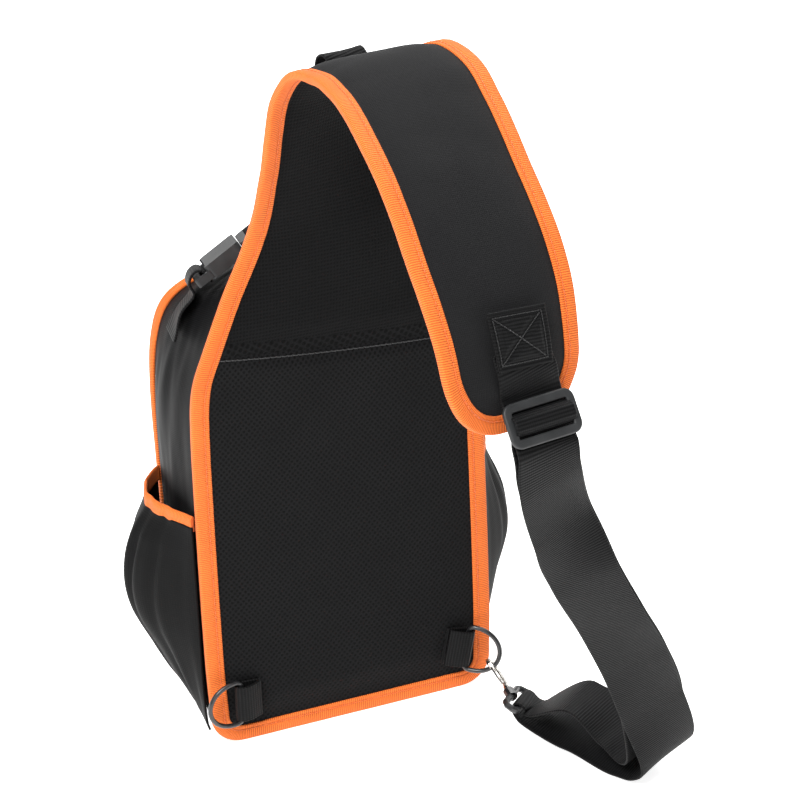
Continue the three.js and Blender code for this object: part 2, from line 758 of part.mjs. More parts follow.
// Webbing tab: sewn flat on the panel, turned round the ring's bar
function ringTab(side, tilt) {
  const path = [];
  const reach = RING_WIRE / 2 + GAP + 0.6 + WEB_THICK / 2;
  const faceAt = (x) => panelFace(RING_Z, x) - 0.4 - WEB_THICK / 2;
  path.push([RING_X - 12, faceAt(RING_X - 12) - WEB_THICK - GAP]);
  path.push([RING_X - 5, RING_Y - reach + 0.6]);
  for (let i = 0; i <= 6; i += 1) {
    const a = rad(-90 + 180 * i / 6);
    path.push([RING_X + reach * Math.cos(a), RING_Y + reach * Math.sin(a)]);
  }
  path.push([RING_X - 5, faceAt(RING_X - 5)]);
  path.push([RING_X - 13, faceAt(RING_X - 13)]);
  const across = tilted(side, tilt, 0, 0, 1).sub(tilted(side, tilt, 0, 0, 0));
  const rows = path.map(([x, y]) => ({
    p: tilted(side, tilt, x - RING_X, y, 0),
    w: across,
    width: SMALL_WEB - 1,
  }));
  return strip(rows, WEB_THICK);
}
addMesh('d_tab_left', ringTab(-1, 0));
addMesh('d_tab_right', ringTab(1, 12));

// Grab loop behind the neck
const LOOP = [
  { out: 0.4, up: 0 },
  { out: 1.8, up: 16 },
  { out: 3.0, up: 32 },
  { out: 7, up: 43 },
  { out: 12, up: 46 },
  { out: 17, up: 43 },
  { out: 18.5, up: 32 },
  { out: 13, up: 15 },
  { out: 3.4, up: 1 },
];
const LOOP_S = 381;
const LOOP_X = 22;
function loopSolid() {
  const base = place(LOOP_S, LOOP_X, padOuter(LOOP_S, LOOP_X) + 0.9 + WEB_THICK / 2);
  const sewn = place(LOOP_S, LOOP_X + 10, 0).sub(place(LOOP_S, LOOP_X - 10, 0)).normalize();
  const back = V(-sewn.y, sewn.x, 0);
  const rows = LOOP.map((r) => ({
    p: base.clone().addScaledVector(back, r.out).add(V(0.06 * r.up, 0, r.up)),
    w: sewn.clone().lerp(V(1, 0.06, -0.03), smooth(r.up / 36)),
    width: SMALL_WEB,
  }));
  return strip(stationsThrough(rows, 9), WEB_THICK);
}
addMesh('grab_loop', loopSolid());

// Shoulder webbing: one strip from the pad over the adjuster to the floor, round the hook's
// base and back up behind itself. x, y, z in millimetres; yaw and rise turn its width.
const heading = (yaw, rise) => V(
  Math.cos(rad(yaw)) * Math.cos(rad(rise)),
  Math.sin(rad(yaw)) * Math.cos(rad(rise)),
  Math.sin(rad(rise)),
);
const GLIDE_S = S_END - 5.3;
const GLIDE_X = 6.8;
const glideCentre = place(GLIDE_S, GLIDE_X, padOuter(GLIDE_S - 26, 10) + 8.5);
const glideDown = V(0.080, -0.582, -0.809).normalize();
const glideWide = V(0.961, 0.261, -0.092);
glideWide.addScaledVector(glideDown, -glideWide.dot(glideDown)).normalize();
const glideOut = glideDown.clone().cross(glideWide);
const glidePoint = (down, wide, out) => glideCentre.clone()
  .addScaledVector(glideDown, down)
  .addScaledVector(glideWide, wide)
  .addScaledVector(glideOut, out);

const HOOK_BASE = V(RING_X + 18, -50, 13.5);
const BASE_WIDE = V(0.59, 0.76, -0.25).normalize();
const bowPoint = ringRight[13];
const baseDir = bowPoint.clone().sub(HOOK_BASE);
baseDir.addScaledVector(BASE_WIDE, -baseDir.dot(BASE_WIDE)).normalize();
const BAR = 2.1;
const baseUp = baseDir.clone().cross(BASE_WIDE).multiplyScalar(-1);
const bend = (r) => HOOK_BASE.clone().addScaledVector(baseDir, r.along).addScaledVector(baseUp, r.up);
const R = BAR + 0.5 + WEB_THICK / 2;
const hookTurn = [
  { along: -6, up: -R - 0.4 },
  { along: 0, up: -R },
  { along: 0.75 * R, up: -0.7 * R },
  { along: R, up: 0 },
  { along: 0.75 * R, up: 0.7 * R },
  { along: 0, up: R },
  { along: -6, up: R + 0.8 },
];
const FALL = [
  { x: 0.249, y: -1.053, z: 0.857, yaw: 10, rise: 14 },
  { x: 0.341, y: -0.965, z: 0.726, yaw: 10, rise: 23 },
  { x: 0.457, y: -0.917, z: 0.589, yaw: -21, rise: 18 },
  { x: 0.597, y: -0.851, z: 0.460, yaw: -25, rise: 17 },
  { x: 0.733, y: -0.777, z: 0.332, yaw: -15, rise: 18 },
  { x: 0.847, y: -0.708, z: 0.199, yaw: -3, rise: 19 },
  { x: 0.945, y: -0.643, z: 0.062, yaw: 12, rise: 19 },
];
const FALL_SIDE = 150;
const FALL_TOP = 330;
const fallPoint = (r) => V(r.x * FALL_SIDE, r.y * PAD_REACH, r.z * FALL_TOP);
const web = (p, w, width = WEB_WIDTH) => ({ p, w, width });
const BASE_WIDTH = 26;
const PATCH_S = S_END - 48;
const PATCH_X = 2.5;
const onPad = (s, x, lift) => place(s, x, padOuter(s, x) + lift);
const acrossPad = (s) => onPad(s, 16, 0).sub(onPad(s, 0, 0)).normalize();
// The webbing's way through the adjuster: under its end bars and over the middle one
const THREADED = [
  { down: -15.5, out: -2.9 },
  { down: -10.6, out: -3.2 },
  { down: -7.3, out: -2.9 },
  { down: -5.2, out: 0 },
  { down: -3.0, out: 3.0 },
  { down: 0, out: 3.3 },
  { down: 3.0, out: 3.0 },
  { down: 5.2, out: 0 },
  { down: 7.3, out: -2.9 },
  { down: 10.6, out: -3.4 },
  { down: 16, out: -3.8 },
];
const strapRows = [];
strapRows.push(web(onPad(PATCH_S + 4, PATCH_X, 2.2), acrossPad(PATCH_S + 4)));
strapRows.push(web(onPad(PATCH_S + 16, PATCH_X + 1.5, 3.0), acrossPad(PATCH_S + 17)));
for (const r of THREADED) {
  strapRows.push(web(glidePoint(r.down, 0, r.out), glideWide));
}
for (const r of FALL) {
  strapRows.push(web(fallPoint(r), heading(r.yaw, r.rise)));
}
strapRows.push(web(V(138, -131, 10.5), heading(18, 18)));
strapRows.push(web(V(131, -117, 6.5), heading(25, 12)));
strapRows.push(web(V(112, -82, 6.0), heading(40, 4), 37));
for (const r of hookTurn) {
  strapRows.push(web(bend(r), BASE_WIDE, BASE_WIDTH));
}
strapRows.push(web(V(112, -82, 31), heading(44, -2), 37));
strapRows.push(web(V(128, -107, 21), heading(34, 8)));
strapRows.push(web(V(135, -128, 20), heading(20, 17)));
for (const r of FALL.slice(0, 6).reverse()) {
  const p = fallPoint(r);
  const lag = 3.4 + 3.4 * Math.sin(Math.PI * clamp01((p.z - 40) / 260));
  strapRows.push(web(p.add(V(0.3 * lag, lag, 0)), heading(r.yaw, r.rise)));
}
strapRows.push(web(glidePoint(17, 0, -8.4), glideWide));
strapRows.push(web(glidePoint(9, 0, -6.6), glideWide));
strapRows.push(web(glidePoint(3, 0, -2.9), glideWide));
strapRows.push(web(glidePoint(-2.2, 0, -2.9), glideWide));
addMesh('shoulder_webbing', strip(stationsThrough(strapRows, 13), WEB_THICK));

// Sewn patch over the webbing's end
function PATCH_Solid() {
  const outer = [];
  const inner = [];
  for (let i = 0; i <= 4; i += 1) {
    const a = [];
    const b = [];
    for (let j = 0; j <= 3; j += 1) {
      const s = PATCH_S - 15 + 30 * i / 4;
      const x = PATCH_X + (j / 3 - 0.5) * 38;
      a.push(onPad(s, x, 5.5));
      b.push(onPad(s, x, 4.4));
    }
    outer.push(a);
    inner.push(b);
  }
  return sheetSolid(outer, inner);
}
addMesh('web_patch', PATCH_Solid());

// A rounded block in a frame of three directions
function block(frame, size, bevel, segments = 2) {
  const shape = new THREE.Shape();
  const [w, h] = [size[0] / 2, size[1] / 2];
  const r = Math.min(bevel, w * 0.98, h * 0.98);
  shape.moveTo(-w + r, -h);
  shape.lineTo(w - r, -h);
  shape.absarc(w - r, -h + r, r, -Math.PI / 2, 0);
  shape.lineTo(w, h - r);
  shape.absarc(w - r, h - r, r, 0, Math.PI / 2);
  shape.lineTo(-w + r, h);
  shape.absarc(-w + r, h - r, r, Math.PI / 2, Math.PI);
  shape.lineTo(-w, -h + r);
  shape.absarc(-w + r, -h + r, r, Math.PI, 1.5 * Math.PI);
  return plate(shape, size[2], frame, segments);
}
function plate(shape, thick, frame, segments) {
  const geometry = new THREE.ExtrudeGeometry(shape, {
    depth: thick, bevelEnabled: false, curveSegments: segments,
  });
  geometry.deleteAttribute('normal');
  geometry.deleteAttribute('uv');
  geometry.translate(0, 0, -thick / 2);
  const m = new THREE.Matrix4().makeBasis(frame.x, frame.y, frame.z);
  m.setPosition(frame.o);
  geometry.applyMatrix4(m);
  return mergeVertices(geometry, 1e-4);
}
function solidOf(geometry) {
  return new wasm.Manifold(new wasm.Mesh({
    numProp: 3,
    vertProperties: new Float32Array(geometry.attributes.position.array),
    triVerts: new Uint32Array(geometry.index.array),
  }));
}
function geometryOf(solid) {
  const mesh = solid.getMesh();
  const geometry = new THREE.BufferGeometry();
  geometry.setAttribute('position', new THREE.BufferAttribute(new Float32Array(mesh.vertProperties), 3));
  geometry.setIndex(new THREE.BufferAttribute(new Uint32Array(mesh.triVerts), 1));
  return geometry;
}

// Adjuster: a flat frame with a middle bar, the webbing goes over the middle bar
const GLIDE_WIDTH = 47;
const GLIDE_LENGTH = 25;
const GLIDE_THICK = 2.8;
const glideFrame = { x: glideWide, y: glideDown, z: glideWide.clone().cross(glideDown), o: glideCentre };
function glideSolid() {
  let solid = solidOf(block(glideFrame, [GLIDE_WIDTH, GLIDE_LENGTH, GLIDE_THICK], 5));
  for (const side of [-1, 1]) {
    const slot = { ...glideFrame, o: glidePoint(side * 5.2, 0, 0) };
    const cut = block(slot, [WEB_WIDTH + 1.2, 6.0, GLIDE_THICK * 3], 1.5);
    solid = solid.subtract(solidOf(cut));
  }
  return geometryOf(solid);
}
addMesh('tri_glide', glideSolid());

// Snap hook clipped into the right ring. Its length runs from the base towards the ring.
const POST_FOOT = HOOK_BASE.clone().addScaledVector(baseDir, 8.2);
const hookDir = bowPoint.clone().sub(POST_FOOT).normalize();
const hookSide = V(-0.55, 0.0, 0.83);
hookSide.addScaledVector(hookDir, -hookSide.dot(hookDir)).normalize();
const hookFlat = hookDir.clone().cross(hookSide);
const hookPoint = (along, side, flat) => POST_FOOT.clone()
  .addScaledVector(hookDir, along)
  .addScaledVector(hookSide, side)
  .addScaledVector(hookFlat, flat);
const EYE = bowPoint.distanceTo(POST_FOOT);
function hookBody() {
  const path = [];
  path.push(hookPoint(5.2, 0, 0));
  path.push(hookPoint(8.5, 0, 0));
  path.push(hookPoint(11, -2.2, 0));
  path.push(hookPoint(14, -4.2, 0));
  path.push(hookPoint(EYE - 2, -4.4, 0));
  for (let i = 0; i <= 8; i += 1) {
    const a = rad(-80 + 215 * i / 8);
    path.push(hookPoint(EYE + 4.4 * Math.cos(a), 4.4 * Math.sin(a), 0));
  }
  return rod(path, 1.7, 8);
}
const swivelPost = rod([hookPoint(-1.6, 0, 0), hookPoint(2, 0, 0), hookPoint(4.8, 0, 0)], 3.4, 10);
addMesh('hook_body', hookBody());
addMesh('hook_gate', rod([hookPoint(10.2, 2.2, 0), hookPoint(14, 4.0, 0), hookPoint(EYE - 4.6, 4.6, 0)], 1.1, 6));

// Base loop: a bar inside the webbing's turn and two arms to the swivel
function baseLoop() {
  const half = BASE_WIDTH / 2 + 2.9;
  const at = (along, wide) => HOOK_BASE.clone()
    .addScaledVector(baseDir, along)
    .addScaledVector(BASE_WIDE, wide);
  const path = [];
  path.push(at(0, -half + 2.4), at(0, half - 2.4), at(0.8, half - 0.6), at(2.6, half));
  path.push(at(6.6, half - 1), at(8.2, half - 3.4), at(8.2, -half + 3.4), at(6.6, -half + 1));
  path.push(at(2.6, -half), at(0.8, -half + 0.6));
  return rod(path, BAR, 8, true);
}
addMesh('hook_base', geometryOf(solidOf(baseLoop()).add(solidOf(swivelPost))));

// Side-release buckle of the closure strap, on the left between front seam and neck
const CLOSE_FRONT = V(-67, 41, 286.5);
const closeDir = V(0.86, 0, 0.51).normalize();
const closeWide = V(-0.19, -0.92, 0.345);
closeWide.addScaledVector(closeDir, -closeWide.dot(closeDir)).normalize();
const closeUp = closeWide.clone().cross(closeDir);
const closePoint = (along, wide, up) => CLOSE_FRONT.clone()
  .addScaledVector(closeDir, along)
  .addScaledVector(closeWide, wide)
  .addScaledVector(closeUp, up);
const closeFrame = (along, up) => ({ x: closeWide, y: closeDir, z: closeUp, o: closePoint(along, 0, up) });
function socketSolid() {
  let solid = solidOf(block(closeFrame(22, 5), [32, 24, 9], 3));
  solid = solid.add(solidOf(block(closeFrame(7, 4), [32, 12, 5], 2)));
  const slot = block(closeFrame(8.4, 4), [26, 5.4, 20], 1);
  solid = solid.subtract(solidOf(slot));
  return geometryOf(solid);
}
function plugSolid() {
  let solid = solidOf(block(closeFrame(46.4, 5), [31, 24, 5], 3));
  for (const along of [42.6, 51.6]) {
    solid = solid.subtract(solidOf(block(closeFrame(along, 5), [26, 5.2, 20], 1)));
  }
  return geometryOf(solid);
}
addMesh('buckle_socket', socketSolid());
addMesh('buckle_plug', plugSolid());

const small = (p, w = closeWide) => ({ p, w, width: SMALL_WEB - 3 });
addMesh('closure_tape_side', strip(stationsThrough([
  small(closePoint(8.6, 0, -0.6)),
  small(closePoint(8.6, 0, 5)),
  small(closePoint(6.6, 0, 9)),
  small(closePoint(2, 0, 9.4)),
  small(closePoint(-2.6, 0, 6)),
  small(closePoint(-4, 0, 0)),
  small(V(-78.2, 41, 275)),
  small(V(-85.0, 41, 260), V(-0.1, -0.98, 0.12)),
], 8), WEB_THICK));
addMesh('closure_tape_top', strip(stationsThrough([
  small(closePoint(38, 0, 1.1)),
  small(closePoint(58, 0, 1.1)),
  small(closePoint(64, 0, 1.6)),
  small(V(4, 41, 317.6), V(0, -0.94, 0.34)),
  small(V(35, 41, 311.8), V(0.1, -0.94, 0.33)),
  small(V(59, 41, 297), V(0.15, -0.94, 0.31)),
  small(V(76.4, 41, 277), V(0.17, -0.94, 0.26)),
  small(V(85.1, 41, 261), V(0.12, -0.98, 0.12)),
], 16), WEB_THICK));

let total = 0;
for (const mesh of group.children) {
  const g = mesh.geometry;
  total += (g.index ? g.index.count : g.attributes.position.count) / 3;
}
group.userData.triangles = total;

export default group;
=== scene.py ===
import math

import bmesh
import bpy
from mathutils import Matrix, Vector, noise


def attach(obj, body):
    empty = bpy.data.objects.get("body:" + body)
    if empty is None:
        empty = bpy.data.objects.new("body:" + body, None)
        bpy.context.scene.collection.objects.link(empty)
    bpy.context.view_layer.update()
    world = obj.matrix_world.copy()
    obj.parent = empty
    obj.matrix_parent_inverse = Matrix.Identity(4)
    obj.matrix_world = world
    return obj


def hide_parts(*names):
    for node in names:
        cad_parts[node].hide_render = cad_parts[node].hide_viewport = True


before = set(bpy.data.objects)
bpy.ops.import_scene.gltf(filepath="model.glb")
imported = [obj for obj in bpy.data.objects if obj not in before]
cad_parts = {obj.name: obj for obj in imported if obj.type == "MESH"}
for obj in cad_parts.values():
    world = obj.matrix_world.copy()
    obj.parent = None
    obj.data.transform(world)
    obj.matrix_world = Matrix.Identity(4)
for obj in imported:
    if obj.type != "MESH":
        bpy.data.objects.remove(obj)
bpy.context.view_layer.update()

bl_info = {
    "name": "Sling tool bag",
    "version": (1, 0, 0),
    "blender": (4, 5, 0),
    "location": "3D View > Sidebar > Sling bag",
    "description": "Dresses a packed sling tool bag in its mesh, canvas, tape, webbing and hardware",
    "category": "Object",
}

# Measures are in millimetres, with the back panel's plane at y = 0. The model's origin
# is the middle of the bag's base, BASE_MIDDLE behind that plane.
BASE_MIDDLE = 45.0
PANEL_HALF = 90.0
NECK_START = 330.0
ARCH_START = 270.0
PAD_SHIFT = 26.0
PAD_REACH = 220.0
CREST_HEIGHT = 451.0
PAD_HALF = 47.0
PAD_END_RADIUS = 36.0
FOOT_RADIUS = 19.0
PADDING = 5.0
RIM_DEPTH = 72.0
BODY_BACK = PADDING + 0.8
WEB_THICK = 1.7


def linear(code):
    """A colour written as sRGB hex, as the linear values that Blender works in."""
    parts = [int(code[i : i + 2], 16) / 255 for i in (1, 3, 5)]
    return tuple(c / 12.92 if c <= 0.04045 else ((c + 0.055) / 1.055) ** 2.4 for c in parts)


def clamp(value):
    return min(1.0, max(0.0, value))


def ease(value):
    value = clamp(value)
    return value * value * (3 - 2 * value)


def mix(a, b, share):
    return a + (b - a) * share


def graded(rows):
    """A smooth curve through rows of (place, value), level beyond both ends."""

    def at(where):
        i = 0
        while i < len(rows) - 2 and rows[i + 1][0] < where:
            i += 1
        (k1, a1), (k2, a2) = rows[i], rows[i + 1]
        span = k2 - k1
        share = clamp((where - k1) / span)
        m1 = (a2 - rows[i - 1][1]) / (k2 - rows[i - 1][0]) if i else (a2 - a1) / span
        last = i + 2 >= len(rows)
        m2 = (a2 - a1) / span if last else (rows[i + 2][1] - a1) / (rows[i + 2][0] - k1)
        s2 = share * share
        s3 = s2 * share
        rise = (2 * s3 - 3 * s2 + 1) * a1 + (3 * s2 - 2 * s3) * a2
        return rise + (s3 - 2 * s2 + share) * span * m1 + (s3 - s2) * span * m2

    return at


def curve_through(points):
    """A centripetal curve through points, read at a share from 0 to 1."""
    ring = [points[0] * 2 - points[1], *points, points[-1] * 2 - points[-2]]
    spans = []
    for p0, p1, p2, p3 in zip(ring, ring[1:], ring[2:], ring[3:]):
        d0, d1, d2 = ((b - a).length ** 0.5 for a, b in ((p0, p1), (p1, p2), (p2, p3)))
        t1 = ((p1 - p0) / d0 - (p2 - p0) / (d0 + d1) + (p2 - p1) / d1) * d1
        t2 = ((p2 - p1) / d1 - (p3 - p1) / (d1 + d2) + (p3 - p2) / d2) * d1
        spans.append((p1, t1, (p2 - p1) * 3 - t1 * 2 - t2, (p1 - p2) * 2 + t1 + t2))

    def at(share):
        place_on = share * len(spans)
        i = min(int(place_on), len(spans) - 1)
        w = place_on - i
        a, b, c, d = spans[i]
        return a + b * w + c * (w * w) + d * (w * w * w)

    return at


# ------------------------------------------------------------------ the ribbon
# Panel, neck and pad are one ribbon: upright from the floor, over the crest, forward and
# down. Shares of PAD_SHIFT, PAD_REACH and CREST_HEIGHT, then two turns in degrees.
ARCH = (
    (0.012, -0.0008, 0.7851, 8.0, 2.0), (0.056, -0.0007, 0.8385, 17.6, 3.2),
    (0.132, 0.0091, 0.8914, 20.2, 3.1), (0.284, 0.0430, 0.9412, 16.8, 5.5),
    (0.525, 0.1111, 0.9799, 15.2, 8.9), (0.778, 0.2073, 0.9994, 17.7, 4.8),
    (0.914, 0.3141, 0.9994, 7.9, 3.7), (0.942, 0.4194, 0.9869, 4.5, 7.4),
    (0.948, 0.5204, 0.9672, 6.0, 8.4), (0.958, 0.6166, 0.9425, 7.4, 9.5),
    (0.981, 0.7073, 0.9127, 8.2, 7.9), (1.000, 0.7906, 0.8778, 7.8, 7.0),
    (1.017, 0.8648, 0.8382, 10.0, 8.4), (0.999, 0.9250, 0.7933, 15.0, 10.0),
    (0.949, 0.9693, 0.7440, 19.5, 9.1), (0.914, 1.0006, 0.6923, 20.9, 5.2),
)
SIDE_HALF = graded((
    (19, 0.980), (60, 0.994), (165, 0.995), (225, 0.985), (246, 0.960), (264, 0.900),
    (297, 0.775), (330, 0.622), (352, 0.548), (375, 0.526), (400, 0.522),
))
SIDE_LEAN = graded((
    (19, 0), (60, 0), (165, 0), (225, 0.001), (246, 0.006), (264, 0.020),
    (297, 0.046), (330, 0.055), (352, 0.033), (375, 0.008), (400, 0),
))


def half_at(s):
    return PAD_HALF if s > 400 else PANEL_HALF * SIDE_HALF(max(FOOT_RADIUS, s))


def lean_at(s):
    return 0.0 if s > 400 else PANEL_HALF * SIDE_LEAN(max(FOOT_RADIUS, s))


def ribbon_frames():
    """Centre line, width direction and outward direction of the ribbon, every half millimetre."""
    points = [Vector((0, 0, z)) for z in (NECK_START - 60, NECK_START - 30, NECK_START)]
    for side, forward, height, _, _ in ARCH:
        points.append(Vector((side * PAD_SHIFT, -forward * PAD_REACH, height * CREST_HEIGHT)))
    curve = curve_through(points)
    steps = 1600
    walk = [curve(i / steps) for i in range(steps + 1)]
    reached = [0.0]
    for a, b in zip(walk, walk[1:]):
        reached.append(reached[-1] + (b - a).length)
    length = reached[-1]
    yaws = [(ARCH_START, 0), (NECK_START, 0)]
    drops = [(ARCH_START, 0), (NECK_START, 0)]
    s = NECK_START
    for i, row in enumerate(ARCH):
        s += (points[i + 3] - points[i + 2]).length
        yaws.append((s, row[3]))
        drops.append((s, row[4]))
    yaw_at, drop_at = graded(yaws), graded(drops)
    frames = []
    j = 0
    for i in range(int((ARCH_START + length + 3) * 2)):
        s = i * 0.5
        if s <= ARCH_START:
            centre, t = Vector((0, 0, s)), Vector((0, 0, 1))
        else:
            far = s - ARCH_START
            while j < steps - 1 and reached[j + 1] < far:
                j += 1
            share = (j + (far - reached[j]) / (reached[j + 1] - reached[j])) / steps
            share = min(share, 1.0)
            t = (curve(min(1, share + 1e-4)) - curve(max(0, share - 1e-4))).normalized()
            centre = curve(share) + t * max(0.0, far - length)
        yaw = math.radians(yaw_at(s)) if s > ARCH_START else 0.0
        drop = math.radians(drop_at(s)) if s > ARCH_START else 0.0
        w = Vector((math.cos(yaw) * math.cos(drop), math.sin(yaw) * math.cos(drop), -math.sin(drop)))
        w = (w - t * w.dot(t)).normalized()
        out = t.cross(w)
        start = centre + w * lean_at(s) - out * (0.5 * PADDING * ease((s - ARCH_START) / 110))
        frames.append((start, w, out))
    return frames, ARCH_START + length


RIBBON, S_END = ribbon_frames()


def place(s, x, d):
    """Point of the ribbon: s along it, x across it, d from its wearing face outwards."""
    at = min(max(s * 2, 0.0), len(RIBBON) - 1.001)
    i = int(at)
    share = at - i
    c1, w1, o1 = RIBBON[i]
    c2, w2, o2 = RIBBON[i + 1]
    point = c1.lerp(c2, share) + w1.lerp(w2, share) * x + o1.lerp(o2, share) * d
    return point + (RIBBON[0][1].cross(RIBBON[0][2])) * min(0.0, s)


def flat_outline():
    """The ribbon's flat pattern as a closed line of (x, s), right side first."""
    foot = half_at(FOOT_RADIUS)
    pts = [(mix(0, foot - FOOT_RADIUS, i / 16), 0.0) for i in range(17)]
    for i in range(1, 11):
        a = math.radians(9 * i)
        pts.append((foot - FOOT_RADIUS + FOOT_RADIUS * math.sin(a), FOOT_RADIUS * (1 - math.cos(a))))
    top = S_END - PAD_END_RADIUS
    count = 150
    for i in range(1, count + 1):
        s = mix(FOOT_RADIUS, top, i / count)
        pts.append((half_at(s), s))
    for i in range(1, 19):
        a = math.radians(5 * i)
        flat = PAD_HALF - PAD_END_RADIUS
        pts.append((flat + PAD_END_RADIUS * math.cos(a), top + PAD_END_RADIUS * math.sin(a)))
    for i in range(1, 4):
        pts.append(((PAD_HALF - PAD_END_RADIUS) * (1 - i / 3), S_END))
    return pts


RIGHT_EDGE = flat_outline()
OUTLINE = RIGHT_EDGE + [(-x, s) for x, s in reversed(RIGHT_EDGE[1:-1])]


def inset(distance):
    """The flat outline moved inwards."""
    n = len(OUTLINE)
    moved = []
    for i in range(n):
        a, p, b = OUTLINE[i - 1], OUTLINE[i], OUTLINE[(i + 1) % n]
        n1 = Vector((a[1] - p[1], p[0] - a[0])).normalized()
        n2 = Vector((p[1] - b[1], b[0] - p[0])).normalized()
        m = (n1 + n2) * (distance / (1 + n1.dot(n2)))
        moved.append((p[0] + m.x, p[1] + m.y))
    return moved


TUCK = 9.0
INNER = inset(TUCK)[: len(RIGHT_EDGE)]
S_IN, S_OUT = TUCK, S_END - TUCK


def inner_half(s):
    """Half width of the padding, to where it runs under the tape."""
    s = min(max(s, S_IN + 0.01), S_OUT - 0.01)
    for (x1, s1), (x2, s2) in zip(INNER, INNER[1:]):
        if s1 < s <= s2:
            return mix(x1, x2, (s - s1) / (s2 - s1))
    return 4.0


def seam_at(x):
    """Height of the curved seam between the panel and the yoke."""
    return 252.6 - 0.115 * x + 0.0003 * x * x


def swell(s, x, low, high, shoulder=20.0, tight=1.0):
    """How full the padding is: 0 at its bound edge and 1 well inside."""
    half = inner_half(s) - (11.3 - TUCK)
    across = 1 - min(1.0, abs(x) / half) ** 4
    return across * min(ease((s - low) / shoulder), ease((high - s) / (shoulder * tight)))


def soft(x, y, z=0.0, size=30.0):
    """Gentle unevenness from -1 to 1, with lumps of that size."""
    return noise.noise(Vector((x / size, y / size, z)))


def panel_face(s, x):
    return 0.8 - 3.2 * swell(s, x, S_IN + 2.3, seam_at(x), tight=0.45)


def pad_outer(s, x):
    full = 3.0 * swell(s, x, 375, S_OUT - 2.3) if s > 375 else 0.0
    return PADDING - 0.8 + full


# ------------------------------------------------------------------ mesh work
def to_model(point):
    return Vector((point.x, point.y - BASE_MIDDLE, point.z)) * 0.001


def laid(columns, rows, at, pattern, around=False, along=False, caps=False, hub=None):
    """A grid whose points lie at at(u, v), with a UV map in metres from pattern(u, v) in millimetres.

    around and along join the grid's sides or its ends, and caps closes a tube's two ends.
    hub is a point that an open sheet faces away from."""
    bm = bmesh.new()
    bmesh.ops.create_grid(bm, x_segments=columns, y_segments=rows, size=0.5)
    layer = bm.loops.layers.uv.new("Pattern")
    bm.verts.ensure_lookup_table()
    spots = {vert: (vert.co.x + 0.5, vert.co.y + 0.5) for vert in bm.verts}
    for face in bm.faces:
        face.smooth = True
        for loop in face.loops:
            a, b = pattern(*spots[loop.vert])
            loop[layer].uv = (a * 0.001, b * 0.001)
    for vert, (u, v) in spots.items():
        vert.co = to_model(at(u, v))
    if around or along:
        sides = [
            v for v, (a, b) in spots.items()
            if (around and not 1e-4 <= a <= 1 - 1e-4) or (along and not 1e-4 <= b <= 1 - 1e-4)
        ]
        bmesh.ops.remove_doubles(bm, verts=sides, dist=2e-6)
    if caps:
        bmesh.ops.holes_fill(bm, edges=[e for e in bm.edges if e.is_boundary], sides=0)
    if around:
        bmesh.ops.recalc_face_normals(bm, faces=bm.faces)
    if hub is not None:
        middle = to_model(Vector(hub))
        away = sum(f.normal.dot(f.calc_center_median() - middle) * f.calc_area() for f in bm.faces)
        if away < 0:
            bmesh.ops.reverse_faces(bm, faces=bm.faces)
    return bm


def finished(name, bm, finish, body="bag", nodes=(), wall=0.0):
    """The finished mesh as a piece that rides on a CAD body and stands for CAD nodes."""
    mesh = bpy.data.meshes.new(name)
    bm.to_mesh(mesh)
    bm.free()
    mesh.materials.append(finish)
    piece = bpy.data.objects.new(name, mesh)
    bpy.context.scene.collection.objects.link(piece)
    if wall:
        shell = piece.modifiers.new("Wall", "SOLIDIFY")
        shell.thickness = wall * 0.001
        shell.offset = -1
        shell.use_even_offset = False
    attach(piece, body)
    if nodes:
        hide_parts(*nodes)
    return piece


def joined(parts):
    """Several bmeshes as one."""
    whole = parts[0]
    for part in parts[1:]:
        spare = bpy.data.meshes.new("spare")
        part.to_mesh(spare)
        whole.from_mesh(spare)
        bpy.data.meshes.remove(spare)
        part.free()
    return whole


def rod(path, radius, sides=14, looped=False, caps=True):
    """A round bar along points, or one whose radius is given at each point."""
    radii = radius if isinstance(radius, (list, tuple)) else [radius] * len(path)
    count = len(path)
    rings, far = [], [0.0]
    side = None
    for i, point in enumerate(path):
        before = path[i - 1] if looped or i else path[0]
        after = path[(i + 1) % count] if looped or i < count - 1 else path[-1]
        t = (after - before).normalized()
        if side is None:
            side = Vector((0, 0, 1)).cross(t) if abs(t.z) < 0.9 else Vector((1, 0, 0)).cross(t)
        side = (side - t * side.dot(t)).normalized()
        rings.append((point, side.copy(), t.cross(side), radii[i]))
        far.append(far[-1] + (path[(i + 1) % count] - point).length)
    if looped:
        rings.append(rings[0])
        count += 1

    def at(u, v):
        point, a, b, r = rings[round(v * (count - 1))]
        turn = 2 * math.pi * u
        return point + a * (r * math.cos(turn)) + b * (r * math.sin(turn))

    def pattern(u, v):
        return u * 2 * math.pi * radii[0], far[round(v * (count - 1))]

    return laid(sides, count - 1, at, pattern, around=True, along=looped, caps=caps and not looped)


def stations_through(rows, step):
    """Stations along a smooth curve through rows of (point, width direction, width)."""
    curve = curve_through([r[0] for r in rows])
    out = []
    for i, (a, b) in enumerate(zip(rows, rows[1:])):
        parts = max(1, math.ceil((b[0] - a[0]).length / step))
        for k in range(parts):
            share = k / parts
            wide = a[1].lerp(b[1], ease(share)).normalized()
            out.append((curve((i + share) / (len(rows) - 1)), wide, mix(a[2], b[2], ease(share))))
    out.append(rows[-1])
    return out


# Half of a webbing's section: across as a share of half its width, out as a share of
# half its thickness. The woven edge is a little thinner and round.
WEB_SECTION = (
    (1.0, 0.0), (0.996, 0.42), (0.975, 0.78), (0.94, 0.92), (0.90, 0.82), (0.82, 0.96),
    (0.60, 1.0), (0.36, 1.0), (0.12, 1.0), (-0.12, 1.0), (-0.36, 1.0), (-0.60, 1.0),
    (-0.82, 0.96), (-0.90, 0.82), (-0.94, 0.92), (-0.975, 0.78), (-0.996, 0.42),
)


